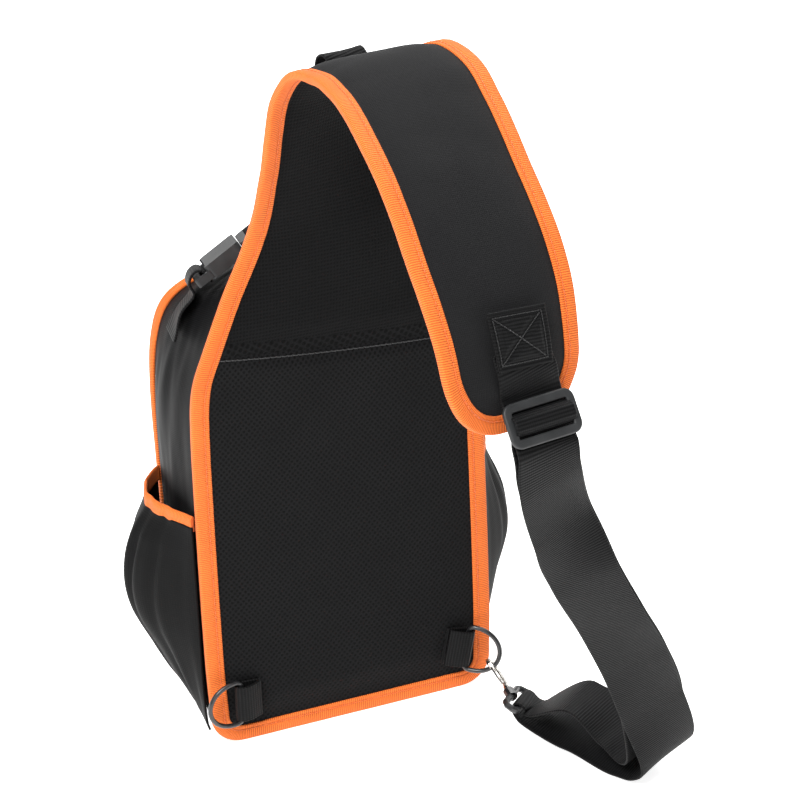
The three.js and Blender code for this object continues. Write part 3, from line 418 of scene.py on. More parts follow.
def webbing(rows, thick=WEB_THICK, step=2.0):
    """A flat woven strap along rows of (point, width direction, width)."""
    stations = stations_through(rows, step)
    section = list(WEB_SECTION) + [(-a, -b) for a, b in WEB_SECTION]
    count = len(stations)
    frames, far = [], [0.0]
    for i, (point, wide, width) in enumerate(stations):
        t = (stations[min(count - 1, i + 1)][0] - stations[max(0, i - 1)][0]).normalized()
        w = (wide - t * wide.dot(t)).normalized()
        frames.append((point, w, t.cross(w), width))
        if i:
            far.append(far[-1] + (point - stations[i - 1][0]).length)

    def at(u, v):
        point, w, n, width = frames[round(v * (count - 1))]
        across, out = section[round(u * len(section)) % len(section)]
        return point + w * (across * width / 2) + n * (out * thick / 2)

    def pattern(u, v):
        k = round(u * len(section))
        across = section[k % len(section)][0]
        width = frames[round(v * (count - 1))][3]
        side = 0 if k <= len(WEB_SECTION) else 1
        return across * width / 2 + side * 100, far[round(v * (count - 1))]

    return laid(len(section), count - 1, at, pattern, around=True, caps=True)


def stitched(line, pitch=3.2, radius=0.42, lift=0.25):
    """Thread along (point, normal) pairs, dipping into the cloth between its stitches."""
    total = sum((b[0] - a[0]).length for a, b in zip(line, line[1:]))
    per = 7
    count = max(per, round(total / pitch) * per)
    marks, path = [0.0], []
    for a, b in zip(line, line[1:]):
        marks.append(marks[-1] + (b[0] - a[0]).length)
    j = 0
    for i in range(count + 1):
        far = total * i / count
        while j < len(line) - 2 and marks[j + 1] < far:
            j += 1
        share = (far - marks[j]) / max(1e-9, marks[j + 1] - marks[j])
        point = line[j][0].lerp(line[j + 1][0], share)
        out = line[j][1].lerp(line[j + 1][1], share).normalized()
        phase = (i % per) / per
        dip = -1.6 * radius if i % per == 0 else lift + radius * 0.5 * math.sin(math.pi * phase)
        path.append(point + out * dip)
    return rod(path, radius, sides=5)


# ------------------------------------------------------------------ the compartment
BODY_AT_PANEL = (
    (0, 0), (40, 0), (70, 0), (84, 7), (87, 30), (87.5, 90), (87.5, 165), (85, 225),
    (78, 260), (66, 284), (49, 303), (27, 315), (0, 319),
)
BODY_AT_RIM = (
    (0, 0), (36, 0), (62, 1), (75, 8), (81, 30), (85, 90), (86.5, 160), (87, 208),
    (84.5, 242), (76, 264), (56, 275), (30, 280), (0, 282),
)
PANEL_X = graded([(k, p[0]) for k, p in enumerate(BODY_AT_PANEL)])
PANEL_Z = graded([(k, p[1]) for k, p in enumerate(BODY_AT_PANEL)])
RIM_X = graded([(k, p[0]) for k, p in enumerate(BODY_AT_RIM)])
RIM_Z = graded([(k, p[1]) for k, p in enumerate(BODY_AT_RIM)])


def gusset(k, v, proud=0.0):
    """Point of the gusset: k round it from the floor's middle (0 to 24), v from panel to rim."""
    side = -1 if k > 12 else 1
    kk = 24 - k if k > 12 else k
    full = ease((kk - 3) / 1.6) * (1 - 0.75 * ease((kk - 7) / 1.6))
    belly = 6.5 * math.sin(math.pi * clamp(v) ** 1.25) * full
    x = max(0.0, mix(PANEL_X(kk), RIM_X(kk), v))
    z = max(0.0, mix(PANEL_Z(kk), RIM_Z(kk), v))
    lo, hi = max(0, kk - 0.05), min(12, kk + 0.05)
    dx = mix(PANEL_X(hi), RIM_X(hi), v) - mix(PANEL_X(lo), RIM_X(lo), v)
    dz = mix(PANEL_Z(hi), RIM_Z(hi), v) - mix(PANEL_Z(lo), RIM_Z(lo), v)
    run = math.hypot(dx, dz)
    push = belly + proud
    return Vector((side * (x + dz / run * push), mix(BODY_BACK, RIM_DEPTH, v), z - dx / run * push))


def side_at(y, z):
    """Where the gusset's right side stands at a depth and a height."""
    v = clamp((y - BODY_BACK) / (RIM_DEPTH - BODY_BACK))
    low, high = 3.0, 9.0
    for _ in range(20):
        k = (low + high) / 2
        if gusset(k, v).z < z:
            low = k
        else:
            high = k
    return gusset(low, v).x


POCKET_LEFT = graded((
    (0, 0), (0.12, 0.13), (0.30, 0.48), (0.50, 0.92), (0.68, 1.0), (0.88, 0.76), (1.0, 0.40), (1.08, 0.30),
))
POCKET_RIGHT = graded((
    (0, 0), (0.12, 0.20), (0.30, 0.58), (0.50, 1.0), (0.68, 0.92), (0.88, 0.48), (1.0, 0.30), (1.08, 0.26),
))
SIDE_TABLE = {}


def side_near(y, z):
    """side_at read from a table of 2 mm cells, because it is asked for so often."""
    a, b = y / 2, z / 2
    i, j = math.floor(a), math.floor(b)
    for p in ((i, j), (i + 1, j), (i, j + 1), (i + 1, j + 1)):
        if p not in SIDE_TABLE:
            SIDE_TABLE[p] = side_at(p[0] * 2.0, p[1] * 2.0)
    low = mix(SIDE_TABLE[i, j], SIDE_TABLE[i + 1, j], a - i)
    high = mix(SIDE_TABLE[i, j + 1], SIDE_TABLE[i + 1, j + 1], a - i)
    return mix(low, high, b - j)


def pocket_point(side, u, v, thick, height=0.0):
    """Point of a side pocket: u from the panel to the rim, v from its foot to its mouth."""
    y = mix(BODY_BACK + 0.6, RIM_DEPTH - 5.5, u)
    z = mix(mix(9, 14, clamp(u * 3)), mix(148, 150, u), v) + height
    spread = math.sin(math.pi * clamp(u) ** 1.25) ** 0.75 if 0 < u < 1 else 0.0
    gather = (0.35 + 0.65 * abs(v - 0.45) / 0.55) * min(1.0, v * 6)
    wander = 0.5 * noise.noise(Vector((u * 2.2, v * 1.4, 3.0 * side)))
    fold = 2.3 * math.sin(2 * math.pi * 5 * u + 1.2 + 2.2 * wander) * gather
    fold += 0.7 * math.sin(2 * math.pi * 9 * u + 4 * wander) * gather
    fold += 1.1 * noise.noise(Vector((u * 9, v * 2.2, 7.0 + side))) * min(1.0, v * 4)
    fold *= math.sin(math.pi * u) * (1 - 0.8 * ease((v - 0.78) / 0.2))
    full = 21 * POCKET_RIGHT(v) if side > 0 else 25 * POCKET_LEFT(v)
    return Vector((side * (side_near(y, z) + 1.2 + thick + max(0.0, full * spread + fold)), y, z))


# ------------------------------------------------------------------ materials
def add(tree, kind, wires=None, **settings):
    """Adds a node with its settings; wires gives its inputs a value or another node's output."""
    made = tree.nodes.new(kind)
    for name, value in settings.items():
        setattr(made, name, value)
    for where, value in (wires or {}).items():
        if isinstance(value, bpy.types.Node):
            value = value.outputs[0]
        if isinstance(value, bpy.types.NodeSocket):
            tree.links.new(value, made.inputs[where])
        else:
            made.inputs[where].default_value = value
    return made


def started(name, **sockets):
    """A material with its shader, whose constant sockets are set on the shader itself."""
    finish = bpy.data.materials.new(name)
    finish.use_nodes = True
    tree = finish.node_tree
    tree.nodes.clear()
    shader = add(tree, "ShaderNodeBsdfPrincipled")
    for key, value in sockets.items():
        shader.inputs[key.replace("_", " ")].default_value = value
    add(tree, "ShaderNodeOutputMaterial", {"Surface": shader})
    return finish, tree, shader


def bands(pitch):
    """Wave texture scale for bands that repeat every pitch millimetres."""
    return 2 * math.pi / (20 * pitch * 0.001)


def two_tones(tree, factor, low, high, start=0.0, end=1.0):
    """A ramp from one colour to another over a factor."""
    ramp = add(tree, "ShaderNodeValToRGB", {0: factor})
    ramp.color_ramp.elements[0].position = start
    ramp.color_ramp.elements[0].color = (*low, 1)
    ramp.color_ramp.elements[1].position = end
    ramp.color_ramp.elements[1].color = (*high, 1)
    return ramp


def grosgrain_tape(colour, shade):
    """Polyester grosgrain, woven with thick weft ribs across the tape: a soft low sheen
    that breaks up along the ribs, painted shade darkening the orange in their furrows, a paler looped selvedge."""
    finish, tree, shader = started(
        "woven_polyester_grosgrain_orange",
        Roughness=0.7, Specular_IOR_Level=0.3, Sheen_Weight=0.05, Sheen_Roughness=0.5)
    uv = add(tree, "ShaderNodeUVMap", uv_map="Pattern")
    # ribs every 1.25 mm; the real ones are 0.9 mm, which is under two pixels
    ribs = add(tree, "ShaderNodeTexWave", {
        "Vector": uv, "Scale": bands(1.25), "Distortion": 0.35, "Detail": 1.0, "Detail Scale": 2.0,
    }, bands_direction="Y")
    warp = add(tree, "ShaderNodeTexWave", {"Vector": uv, "Scale": bands(0.9), "Distortion": 0.2}, bands_direction="X")
    patch = add(tree, "ShaderNodeTexNoise", {"Vector": uv, "Scale": 60.0, "Detail": 3.0})
    level = add(tree, "ShaderNodeMath", {0: ribs, 1: 0.72}, operation="MULTIPLY")
    level = add(tree, "ShaderNodeMath", {0: warp, 1: 0.10, 2: level}, operation="MULTIPLY_ADD")
    level = add(tree, "ShaderNodeMath", {0: patch, 1: 0.25, 2: level}, operation="MULTIPLY_ADD")
    # painted shade: the furrows between the ribs get the darker orange; the patchy noise adds a little real unevenness
    # of tone
    tones = two_tones(tree, level, shade, colour, 0.05, 0.80)
    tree.links.new(tones.outputs[0], shader.inputs["Base Color"])
    bump = add(tree, "ShaderNodeBump", {"Height": level, "Distance": 0.00035, "Strength": 0.8})
    tree.links.new(bump.outputs[0], shader.inputs["Normal"])
    return finish


def spacer_mesh(name, pitch, dark, light, hole, depth, turn=45.0):
    """Polyester spacer mesh, warp knitted: dull black yarn round small regular holes that
    read as a fine diamond grain, with the foam behind them; the holes are painted darker as the shade that falls in
    them."""
    finish, tree, shader = started(name, Roughness=0.85, Specular_IOR_Level=0.1, Sheen_Weight=0.02, Sheen_Roughness=0.5)
    uv = add(tree, "ShaderNodeUVMap", uv_map="Pattern")
    turned = add(tree, "ShaderNodeMapping", {
        "Vector": uv, "Rotation": (0, 0, math.radians(turn)), "Scale": (1.0, 0.8, 1.0)})
    cells = add(tree, "ShaderNodeTexVoronoi", {"Vector": turned, "Scale": 1000 / pitch, "Randomness": 0.08})
    yarn = add(tree, "ShaderNodeMapRange", {0: cells, 1: hole - 0.12, 2: hole + 0.12, 3: 0.0, 4: 1.0})
    wear = add(tree, "ShaderNodeTexNoise", {"Vector": uv, "Scale": 35.0, "Detail": 5.0})
    tint = add(tree, "ShaderNodeMath", {0: wear, 1: 0.5, 2: 0.6}, operation="MULTIPLY_ADD")
    level = add(tree, "ShaderNodeMath", {0: yarn, 1: tint}, operation="MULTIPLY")
    # painted shade: the holes get the darker colour and the yarn round them the lighter one; the wear noise is real
    # unevenness of tone
    tones = two_tones(tree, level, dark, light, 0.05, 0.95)
    tree.links.new(tones.outputs[0], shader.inputs["Base Color"])
    bump = add(tree, "ShaderNodeBump", {"Height": yarn, "Distance": depth * 0.001, "Strength": 0.7})
    tree.links.new(bump.outputs[0], shader.inputs["Normal"])
    return finish


def coarse_canvas():
    """Polyester canvas, plain woven from thick black yarn: fine crossed lines, a dry grey
    bloom where light grazes it, and paler specks where single fibres stand up."""
    finish, tree, shader = started(
        "plain_woven_polyester_canvas_black",
        Roughness=0.85, Specular_IOR_Level=0.15, Sheen_Weight=0.04, Sheen_Roughness=0.5)
    uv = add(tree, "ShaderNodeUVMap", uv_map="Pattern")
    # yarns every 1.1 mm, drawn a third coarser than the real 0.8 mm so that they show
    weft = add(tree, "ShaderNodeTexWave", {
        "Vector": uv, "Scale": bands(1.1), "Distortion": 0.9, "Detail": 2.0, "Detail Scale": 3.0,
    }, bands_direction="Y")
    warp = add(tree, "ShaderNodeTexWave", {
        "Vector": uv, "Scale": bands(1.1), "Distortion": 0.9, "Detail": 2.0, "Detail Scale": 3.0,
    }, bands_direction="X")
    weave = add(tree, "ShaderNodeMath", {0: weft, 1: warp}, operation="MAXIMUM")
    specks = add(tree, "ShaderNodeTexNoise", {"Vector": uv, "Scale": 900.0, "Detail": 2.0})
    worn = add(tree, "ShaderNodeTexNoise", {"Vector": uv, "Scale": 28.0, "Detail": 6.0, "Roughness": 0.6})
    level = add(tree, "ShaderNodeMath", {0: weave, 1: 0.45}, operation="MULTIPLY")
    level = add(tree, "ShaderNodeMath", {0: specks, 1: 0.45, 2: level}, operation="MULTIPLY_ADD")
    level = add(tree, "ShaderNodeMath", {0: worn, 1: 0.30, 2: level}, operation="MULTIPLY_ADD")
    tones = two_tones(tree, level, linear("#050506"), linear("#1b1b1c"), 0.30, 1.0)
    tree.links.new(tones.outputs[0], shader.inputs["Base Color"])
    bump = add(tree, "ShaderNodeBump", {"Height": level, "Distance": 0.0004, "Strength": 0.7})
    tree.links.new(bump.outputs[0], shader.inputs["Normal"])
    return finish


def smooth_polyester(name, low, high, rough, pitch):
    """Fine polyester cloth, calendered smooth: an even black with a soft broad gleam on
    its wrinkles and a barely seen plain weave."""
    finish, tree, shader = started(
        name, Roughness=rough, Specular_IOR_Level=0.12, Sheen_Weight=0.02, Sheen_Roughness=0.4)
    uv = add(tree, "ShaderNodeUVMap", uv_map="Pattern")
    weft = add(tree, "ShaderNodeTexWave", {"Vector": uv, "Scale": bands(pitch), "Distortion": 0.4}, bands_direction="Y")
    warp = add(tree, "ShaderNodeTexWave", {"Vector": uv, "Scale": bands(pitch), "Distortion": 0.4}, bands_direction="X")
    weave = add(tree, "ShaderNodeMath", {0: weft, 1: warp}, operation="MULTIPLY")
    drift = add(tree, "ShaderNodeTexNoise", {"Vector": uv, "Scale": 22.0, "Detail": 5.0})
    level = add(tree, "ShaderNodeMath", {0: weave, 1: 0.35, 2: drift}, operation="MULTIPLY_ADD")
    tones = two_tones(tree, level, low, high, 0.35, 0.95)
    tree.links.new(tones.outputs[0], shader.inputs["Base Color"])
    bump = add(tree, "ShaderNodeBump", {"Height": weave, "Distance": 0.00018, "Strength": 0.5})
    tree.links.new(bump.outputs[0], shader.inputs["Normal"])
    return finish


def ribbed_webbing():
    """Polypropylene webbing, woven in ribs across its width: near black, with a slight
    plastic gleam painted as a highlight on each rib, painted shade between the ribs, and darker lines of painted shade
    where the warp dives under."""
    finish, tree, shader = started(
        "woven_polypropylene_webbing_black",
        Roughness=0.6, Specular_IOR_Level=0.12, Sheen_Weight=0.02, Sheen_Roughness=0.4)
    uv = add(tree, "ShaderNodeUVMap", uv_map="Pattern")
    ribs = add(tree, "ShaderNodeTexWave", {"Vector": uv, "Scale": bands(1.7), "Distortion": 0.15}, bands_direction="Y")
    warp = add(tree, "ShaderNodeTexWave", {"Vector": uv, "Scale": bands(1.4), "Distortion": 0.3}, bands_direction="X")
    worn = add(tree, "ShaderNodeTexNoise", {"Vector": uv, "Scale": 40.0, "Detail": 4.0})
    level = add(tree, "ShaderNodeMath", {0: ribs, 1: 0.65}, operation="MULTIPLY")
    level = add(tree, "ShaderNodeMath", {0: warp, 1: 0.15, 2: level}, operation="MULTIPLY_ADD")
    level = add(tree, "ShaderNodeMath", {0: worn, 1: 0.25, 2: level}, operation="MULTIPLY_ADD")
    # painted highlight on each rib's crest and painted shade between the ribs and along the warp lines; the worn noise
    # is real unevenness of tone
    tones = two_tones(tree, level, linear("#010101"), linear("#151516"), 0.15, 0.95)
    tree.links.new(tones.outputs[0], shader.inputs["Base Color"])
    bump = add(tree, "ShaderNodeBump", {"Height": level, "Distance": 0.0004, "Strength": 0.7})
    tree.links.new(bump.outputs[0], shader.inputs["Normal"])
    return finish


def moulded_plastic():
    """Acetal, injection moulded with a fine spark-eroded grain: matte dark grey with a
    soft wide highlight, rubbed a little smoother along its edges."""
    finish, tree, shader = started("moulded_acetal_black", Roughness=0.52, Specular_IOR_Level=0.4)
    where = add(tree, "ShaderNodeTexCoord")
    grain = add(tree, "ShaderNodeTexNoise", {"Vector": where.outputs["Object"], "Scale": 2200.0, "Detail": 2.0})
    rub = add(tree, "ShaderNodeTexNoise", {"Vector": where.outputs["Object"], "Scale": 90.0, "Detail": 4.0})
    tones = two_tones(tree, rub, linear("#1d1e1f"), linear("#2d2e2f"), 0.3, 0.75)
    tree.links.new(tones.outputs[0], shader.inputs["Base Color"])
    bump = add(tree, "ShaderNodeBump", {"Height": grain, "Distance": 0.00008, "Strength": 0.6})
    tree.links.new(bump.outputs[0], shader.inputs["Normal"])
    return finish


def coated_wire():
    """Steel wire, bent and coated black: a thin glossy skin, with finer scuffs where
    the straps rub it."""
    finish, tree, shader = started("black_coated_steel_wire", IOR=1.5, Coat_Weight=0.3, Coat_Roughness=0.2)
    where = add(tree, "ShaderNodeTexCoord")
    scuff = add(tree, "ShaderNodeTexNoise", {"Vector": where.outputs["Object"], "Scale": 400.0, "Detail": 5.0})
    tones = two_tones(tree, scuff, linear("#0d0d0e"), linear("#2a2a2c"), 0.35, 0.8)
    tree.links.new(tones.outputs[0], shader.inputs["Base Color"])
    rough = add(tree, "ShaderNodeMapRange", {0: scuff, 1: 0.3, 2: 0.7, 3: 0.28, 4: 0.45})
    tree.links.new(rough.outputs[0], shader.inputs["Roughness"])
    return finish


def plated_hook():
    """Zinc alloy, die cast and nickel plated: bright and slightly warm grey, with fine
    polishing scratches that widen its reflections."""
    finish, tree, shader = started("nickel_plated_zinc", Metallic=1.0, Base_Color=(*linear("#c9c6c1"), 1))
    where = add(tree, "ShaderNodeTexCoord")
    scratch = add(tree, "ShaderNodeTexNoise", {"Vector": where.outputs["Object"], "Scale": 700.0, "Detail": 4.0})
    rough = add(tree, "ShaderNodeMapRange", {0: scratch, 1: 0.3, 2: 0.7, 3: 0.16, 4: 0.34})
    tree.links.new(rough.outputs[0], shader.inputs["Roughness"])
    bump = add(tree, "ShaderNodeBump", {"Height": scratch, "Distance": 0.00003, "Strength": 0.5})
    tree.links.new(bump.outputs[0], shader.inputs["Normal"])
    return finish


def sewing_thread(name, low, high):
    """Bonded polyester thread, twisted: a little glossier than the cloth it holds."""
    finish, tree, shader = started(name, Roughness=0.5, Sheen_Weight=0.2, Sheen_Roughness=0.4)
    uv = add(tree, "ShaderNodeUVMap", uv_map="Pattern")
    turned = add(tree, "ShaderNodeMapping", {"Vector": uv, "Rotation": (0, 0, math.radians(35))})
    twist = add(tree, "ShaderNodeTexWave", {"Vector": turned, "Scale": bands(0.5)}, bands_direction="X")
    # painted shade and highlight: the twist bands turn darker and lighter as light would fall across the plies
    tones = two_tones(tree, twist, low, high)
    tree.links.new(tones.outputs[0], shader.inputs["Base Color"])
    return finish


def opal_floor():
    """Opal acrylic light table, cast and sanded matt: pale and even because it glows from
    below, with the faintest mottle and a soft shadow where the bag touches it."""
    finish, tree, shader = started(
        "opal_acrylic_light_table",
        Roughness=0.9, Specular_IOR_Level=0.1, Emission_Color=(1, 1, 1, 1), Emission_Strength=0.8)
    where = add(tree, "ShaderNodeTexCoord")
    mottle = add(tree, "ShaderNodeTexNoise", {"Vector": where.outputs["Object"], "Scale": 3.0, "Detail": 2.0})
    tones = two_tones(tree, mottle, linear("#f1f1f0"), linear("#f7f7f6"), 0.3, 0.7)
    tree.links.new(tones.outputs[0], shader.inputs["Base Color"])
    return finish


FINISHES = {}


def finish_of(name):
    """The material of that name, made when it is first asked for."""
    looks = bpy.context.scene.sling_bag_looks
    makers = {
        "tape": lambda: grosgrain_tape(tuple(looks.tape_colour), tuple(looks.tape_furrow_painted_shade)),
        # the first colour of each knitted mesh is painted shade in its holes
        "panel_mesh": lambda: spacer_mesh(
            "knitted_spacer_mesh_black", 2.3, linear("#020202"), linear("#131314"), 0.30, 0.35),
        "yoke_mesh": lambda: spacer_mesh(
            "knitted_fine_grid_mesh_black", 1.9, linear("#010101"), linear("#0c0c0d"), 0.30, 0.3, 0.0),
        "band_mesh": lambda: spacer_mesh(
            "knitted_open_mesh_black", 3.2, linear("#000000"), linear("#0f0f10"), 0.36, 0.5, 30.0),
        "canvas": coarse_canvas,
        "body": lambda: smooth_polyester(
            "calendered_polyester_cloth_black", linear("#040405"), linear("#0e0e0f"), 0.6, 1.2),
        "pocket": lambda: smooth_polyester(
            "stretch_knit_polyester_black", linear("#040404"), linear("#0b0b0c"), 0.65, 1.5),
        "webbing": ribbed_webbing,
        "plastic": moulded_plastic,
        "wire": coated_wire,
        "nickel": plated_hook,
        "orange_thread": lambda: sewing_thread("bonded_polyester_thread_orange", linear("#b04a10"), linear("#e8742a")),
        "black_thread": lambda: sewing_thread("bonded_polyester_thread_black", linear("#020202"), linear("#0d0d0e")),
        "grey_thread": lambda: sewing_thread("bonded_polyester_thread_grey", linear("#141415"), linear("#303031")),
        "floor": opal_floor,
    }
    if name not in FINISHES:
        FINISHES[name] = makers[name]()
    return FINISHES[name]


# ------------------------------------------------------------------ padding
def padding_sheet(columns, rows, low_of, high_of, depth, hub):
    """One face of the padding between two edges that may curve with x."""

    def spot(u, v):
        tau = 2 * u - 1
        tau = 0.35 * math.sin(math.pi * tau / 2) + 0.65 * tau
        x = tau * 60
        for _ in range(3):
            s = mix(low_of(x), high_of(x), v)
            x = tau * inner_half(s)
        return s, x

    def at(u, v):
        s, x = spot(u, v)
        return place(s, x, depth(s, x))

    def pattern(u, v):
        s, x = spot(u, v)
        return x, s

    return laid(columns, rows, at, pattern, hub=hub)


def wearing_face(s, x):
    """Depth of the wearing face above or below the seam, with its slight unevenness."""
    seam = seam_at(x)
    if s < seam:
        face = panel_face(s, x)
        return face - 0.5 * soft(x, s, 1.0, 34) * swell(s, x, S_IN + 2.3, seam)
    face = 0.8 - 3.0 * swell(s, x, seam, S_OUT - 2.3)
    return face - 0.6 * soft(x, s, 4.0, 30) * swell(s, x, seam, S_OUT - 2.3)


def band_face(s, x):
    """Depth of the band above the seam: it sinks into the seam and lies over the lining."""
    return wearing_face(s, x) - 0.5 * ease((s - seam_at(x)) / 2) + 0.5 * ease((s - seam_at(x) - 6.5) / 1.5)


def outer_face(s, x):
    """Depth of the pad's canvas face, a little uneven over its foam."""
    return pad_outer(s, x) + 0.5 * soft(x, s, 9.0, 26) * swell(s, x, 375, S_OUT - 2.3)


class BAG_OT_padding(bpy.types.Operator):
    """Make the padded back panel, the yoke and pad lining, the canvas and their seam"""

    bl_idname = "sling_bag.padding"
    bl_label = "Back panel and shoulder pad"

    def execute(self, context):
        panel = finished(
            "back_panel_mesh",
            padding_sheet(84, 124, lambda x: S_IN, seam_at, wearing_face, None),
            finish_of("panel_mesh"), nodes=("back_panel",),
        )
        band = finished(
            "yoke_open_mesh_band",
            padding_sheet(96, 10, lambda x: seam_at(x) - 0.2, lambda x: seam_at(x) + 8.0, band_face, None),
            finish_of("band_mesh"),
        )
        lining = finished(
            "yoke_and_pad_lining",
            padding_sheet(48, 240, lambda x: seam_at(x) + 7.0, lambda x: S_OUT, wearing_face, None),
            finish_of("yoke_mesh"), nodes=("shoulder_pad",),
        )
        canvas = finished(
            "pad_canvas",
            padding_sheet(48, 220, lambda x: 296.0, lambda x: S_OUT, outer_face, None),
            finish_of("canvas"),
        )
        for piece, towards in ((panel, True), (band, True), (lining, True), (canvas, False)):
            turn_sheet(piece, towards)
        line = []
        for i in range(121):
            x = mix(-1, 1, i / 120) * (inner_half(250) - 2)
            s = seam_at(x) - 2.6
            out = place(s, x, -1) - place(s, x, 0)
            line.append((place(s, x, wearing_face(s, x)), out.normalized()))
        finished("panel_seam_stitches", stitched(line, 3.4, 0.38), finish_of("grey_thread"))
        return {"FINISHED"}


def turn_sheet(piece, towards):
    """Turns a sheet's faces towards the wearer's side of the arch, or away from it."""
    bm = bmesh.new()
    bm.from_mesh(piece.data)
    bm.faces.ensure_lookup_table()
    sense = 0.0
    for face in bm.faces:
        mid = face.calc_center_median()
        inside = to_model(Vector((0, -120, min(mid.z * 1000, 400))))
        sense += face.normal.dot(inside - mid) * face.calc_area()
    if (sense > 0) != towards:
        bmesh.ops.reverse_faces(bm, faces=bm.faces)
    bm.to_mesh(piece.data)
    bm.free()


# ------------------------------------------------------------------ edge tape
# Half of the tape's section, from its middle at the edge to its selvedge on one face:
# how far inwards, and how deep from that face. The stitching sinks it near the selvedge.
TAPE_HALF = (
    (-0.05, 2.50), (-0.05, 1.70), (0.06, 1.00), (0.36, 0.44), (0.95, 0.06), (1.90, -0.16),
    (3.00, -0.28), (4.20, -0.34), (5.40, -0.30), (6.30, -0.14), (6.90, 0.06), (7.40, 0.16),
    (7.90, 0.06), (8.60, -0.10), (9.40, -0.14), (10.00, -0.04), (10.40, 0.20), (10.45, 0.80),
)


def tape_section():
    near = [(a, b) for a, b in reversed(TAPE_HALF)]
    far = [(a, PADDING - b) for a, b in TAPE_HALF[1:]]
    return near + far


class BAG_OT_binding(bpy.types.Operator):
    """Make the orange tape folded over the whole edge, and its two rows of stitches"""

    bl_idname = "sling_bag.binding"
    bl_label = "Edge binding"

    def execute(self, context):
        section = tape_section()
        lines = {a: inset(a) for a in {a for a, _ in section} | {7.4}}
        count = len(OUTLINE)
        run = [0.0]
        for i in range(count):
            a, b = OUTLINE[i], OUTLINE[(i + 1) % count]
            run.append(run[-1] + math.hypot(b[0] - a[0], b[1] - a[1]))
        around = [0.0]
        for a, b in zip(section, section[1:]):
            around.append(around[-1] + math.hypot(b[0] - a[0], b[1] - a[1]))

        def at(u, v):
            j = round(u * len(section)) % len(section)
            i = round(v * count) % count
            inwards, depth = section[j]
            x, s = lines[inwards][i]
            wave = 0.12 * soft(run[i], inwards * 3, 2.0, 7.0) + 0.25 * soft(run[i], 0, 5.0, 28.0)
            return place(s, x, depth + wave * (-1 if depth < PADDING / 2 else 1))

        def pattern(u, v):
            j = round(u * len(section))
            return (around[j] if j < len(section) else around[-1] + 8), run[round(v * count)]

        tape = laid(len(section), count, at, pattern, around=True, along=True)
        finished("edge_binding", tape, finish_of("tape"), nodes=("edge_tape",))
        rows = []
        for depth, sense in ((0.16, -1), (PADDING - 0.16, 1)):
            line = []
            for i in range(count + 1):
                x, s = lines[7.4][i % count]
                foot = place(s, x, depth)
                line.append((foot, (place(s, x, depth + sense) - foot).normalized()))
            rows.append(stitched(line, 3.1, 0.36, 0.1))
        finished("binding_stitches", joined(rows), finish_of("orange_thread"))
        return {"FINISHED"}


# ------------------------------------------------------------------ body
def wrinkle(k, v):
    """Soft wrinkles of the gusset cloth: long and upright on its sides."""
    side = 1.0 if k > 12 else -1.0
    kk = 24 - k if k > 12 else k
    upright = noise.noise(Vector((v * 4.2 + 0.25 * kk, kk * 0.42, 11 * side)))
    fine = noise.noise(Vector((v * 9.0 - 0.5 * kk, kk * 0.8, 17 * side)))
    hold = ease((kk - 2.6) / 1.4) * math.sin(math.pi * clamp(v)) ** 0.5
    return (2.6 * upright + 0.9 * fine) * hold


class BAG_OT_body(bpy.types.Operator):
    """Make the hollow compartment's gusset and front, and the piping round its front"""

    bl_idname = "sling_bag.body"
    bl_label = "Compartment"

    def execute(self, context):
        around, deep = 220, 40
        run = [0.0]
        for i in range(around):
            run.append(run[-1] + (gusset(24 * (i + 1) / around, 0.5) - gusset(24 * i / around, 0.5)).length)

        def at(u, v):
            k = 24 * (u % 1.0)
            return gusset(k, v, wrinkle(k, v))

        def pattern(u, v):
            return v * (RIM_DEPTH - BODY_BACK), run[round(u * around)]

        sides = laid(around, deep, at, pattern, around=True)
        outwards(sides, (0, 40, 140))
        finished("body_gusset", sides, finish_of("body"), nodes=("bag_body",), wall=1.6)

        centre = Vector((0, RIM_DEPTH, 140))

        def front_at(u, v):
            rim = gusset(24 * (u % 1.0), 1.0)
            p = centre.lerp(rim, 1 - v)
            r = 1 - v
            rise = 19 * (1 - r**3.2) ** 0.7 * mix(0.55, 1, ease((p.z - 2) / 40))
            sag = 0.8 * soft(p.x, p.z, 6.0, 60) * (1 - r)
            return Vector((p.x, RIM_DEPTH + rise + sag, p.z))

        def front_pattern(u, v):
            p = front_at(u, v)
            return p.x, p.z

        front = laid(160, 44, front_at, front_pattern, around=True)
        bmesh.ops.remove_doubles(front, verts=front.verts, dist=2e-6)
        outwards(front, (0, 40, 140))
        finished("body_front", front, finish_of("body"), wall=1.6)

        section = (
            (-0.4, -4.2), (1.0, -4.1), (2.1, -3.2), (2.6, -1.9), (2.45, -0.8), (2.1, 0.0),
            (2.45, 0.8), (2.6, 1.9), (2.1, 3.2), (1.0, 4.1), (-0.4, 4.2),
        )
        steps = 260

        def tape_at(u, v):
            out, y = section[round(u * len(section)) % len(section)]
            k = mix(3.3, 20.7, v)
            seat = gusset(k, min(1.0, 1 - max(0.0, -y) / (RIM_DEPTH - BODY_BACK)), 0.45 + out)
            return Vector((seat.x, RIM_DEPTH + y, seat.z))

        def tape_pattern(u, v):
            return round(u * len(section)) * 1.3, v * 760

        piping = laid(len(section), steps, tape_at, tape_pattern, around=True, caps=True)
        finished("front_piping_tape", piping, finish_of("tape"), nodes=("front_piping",))
        return {"FINISHED"}


def outwards(bm, hub):
    """Turns an open shell's faces away from a point inside it."""
    middle = to_model(Vector(hub))
    sense = sum(f.normal.dot(f.calc_center_median() - middle) * f.calc_area() for f in bm.faces)
    if sense < 0:
        bmesh.ops.reverse_faces(bm, faces=bm.faces)


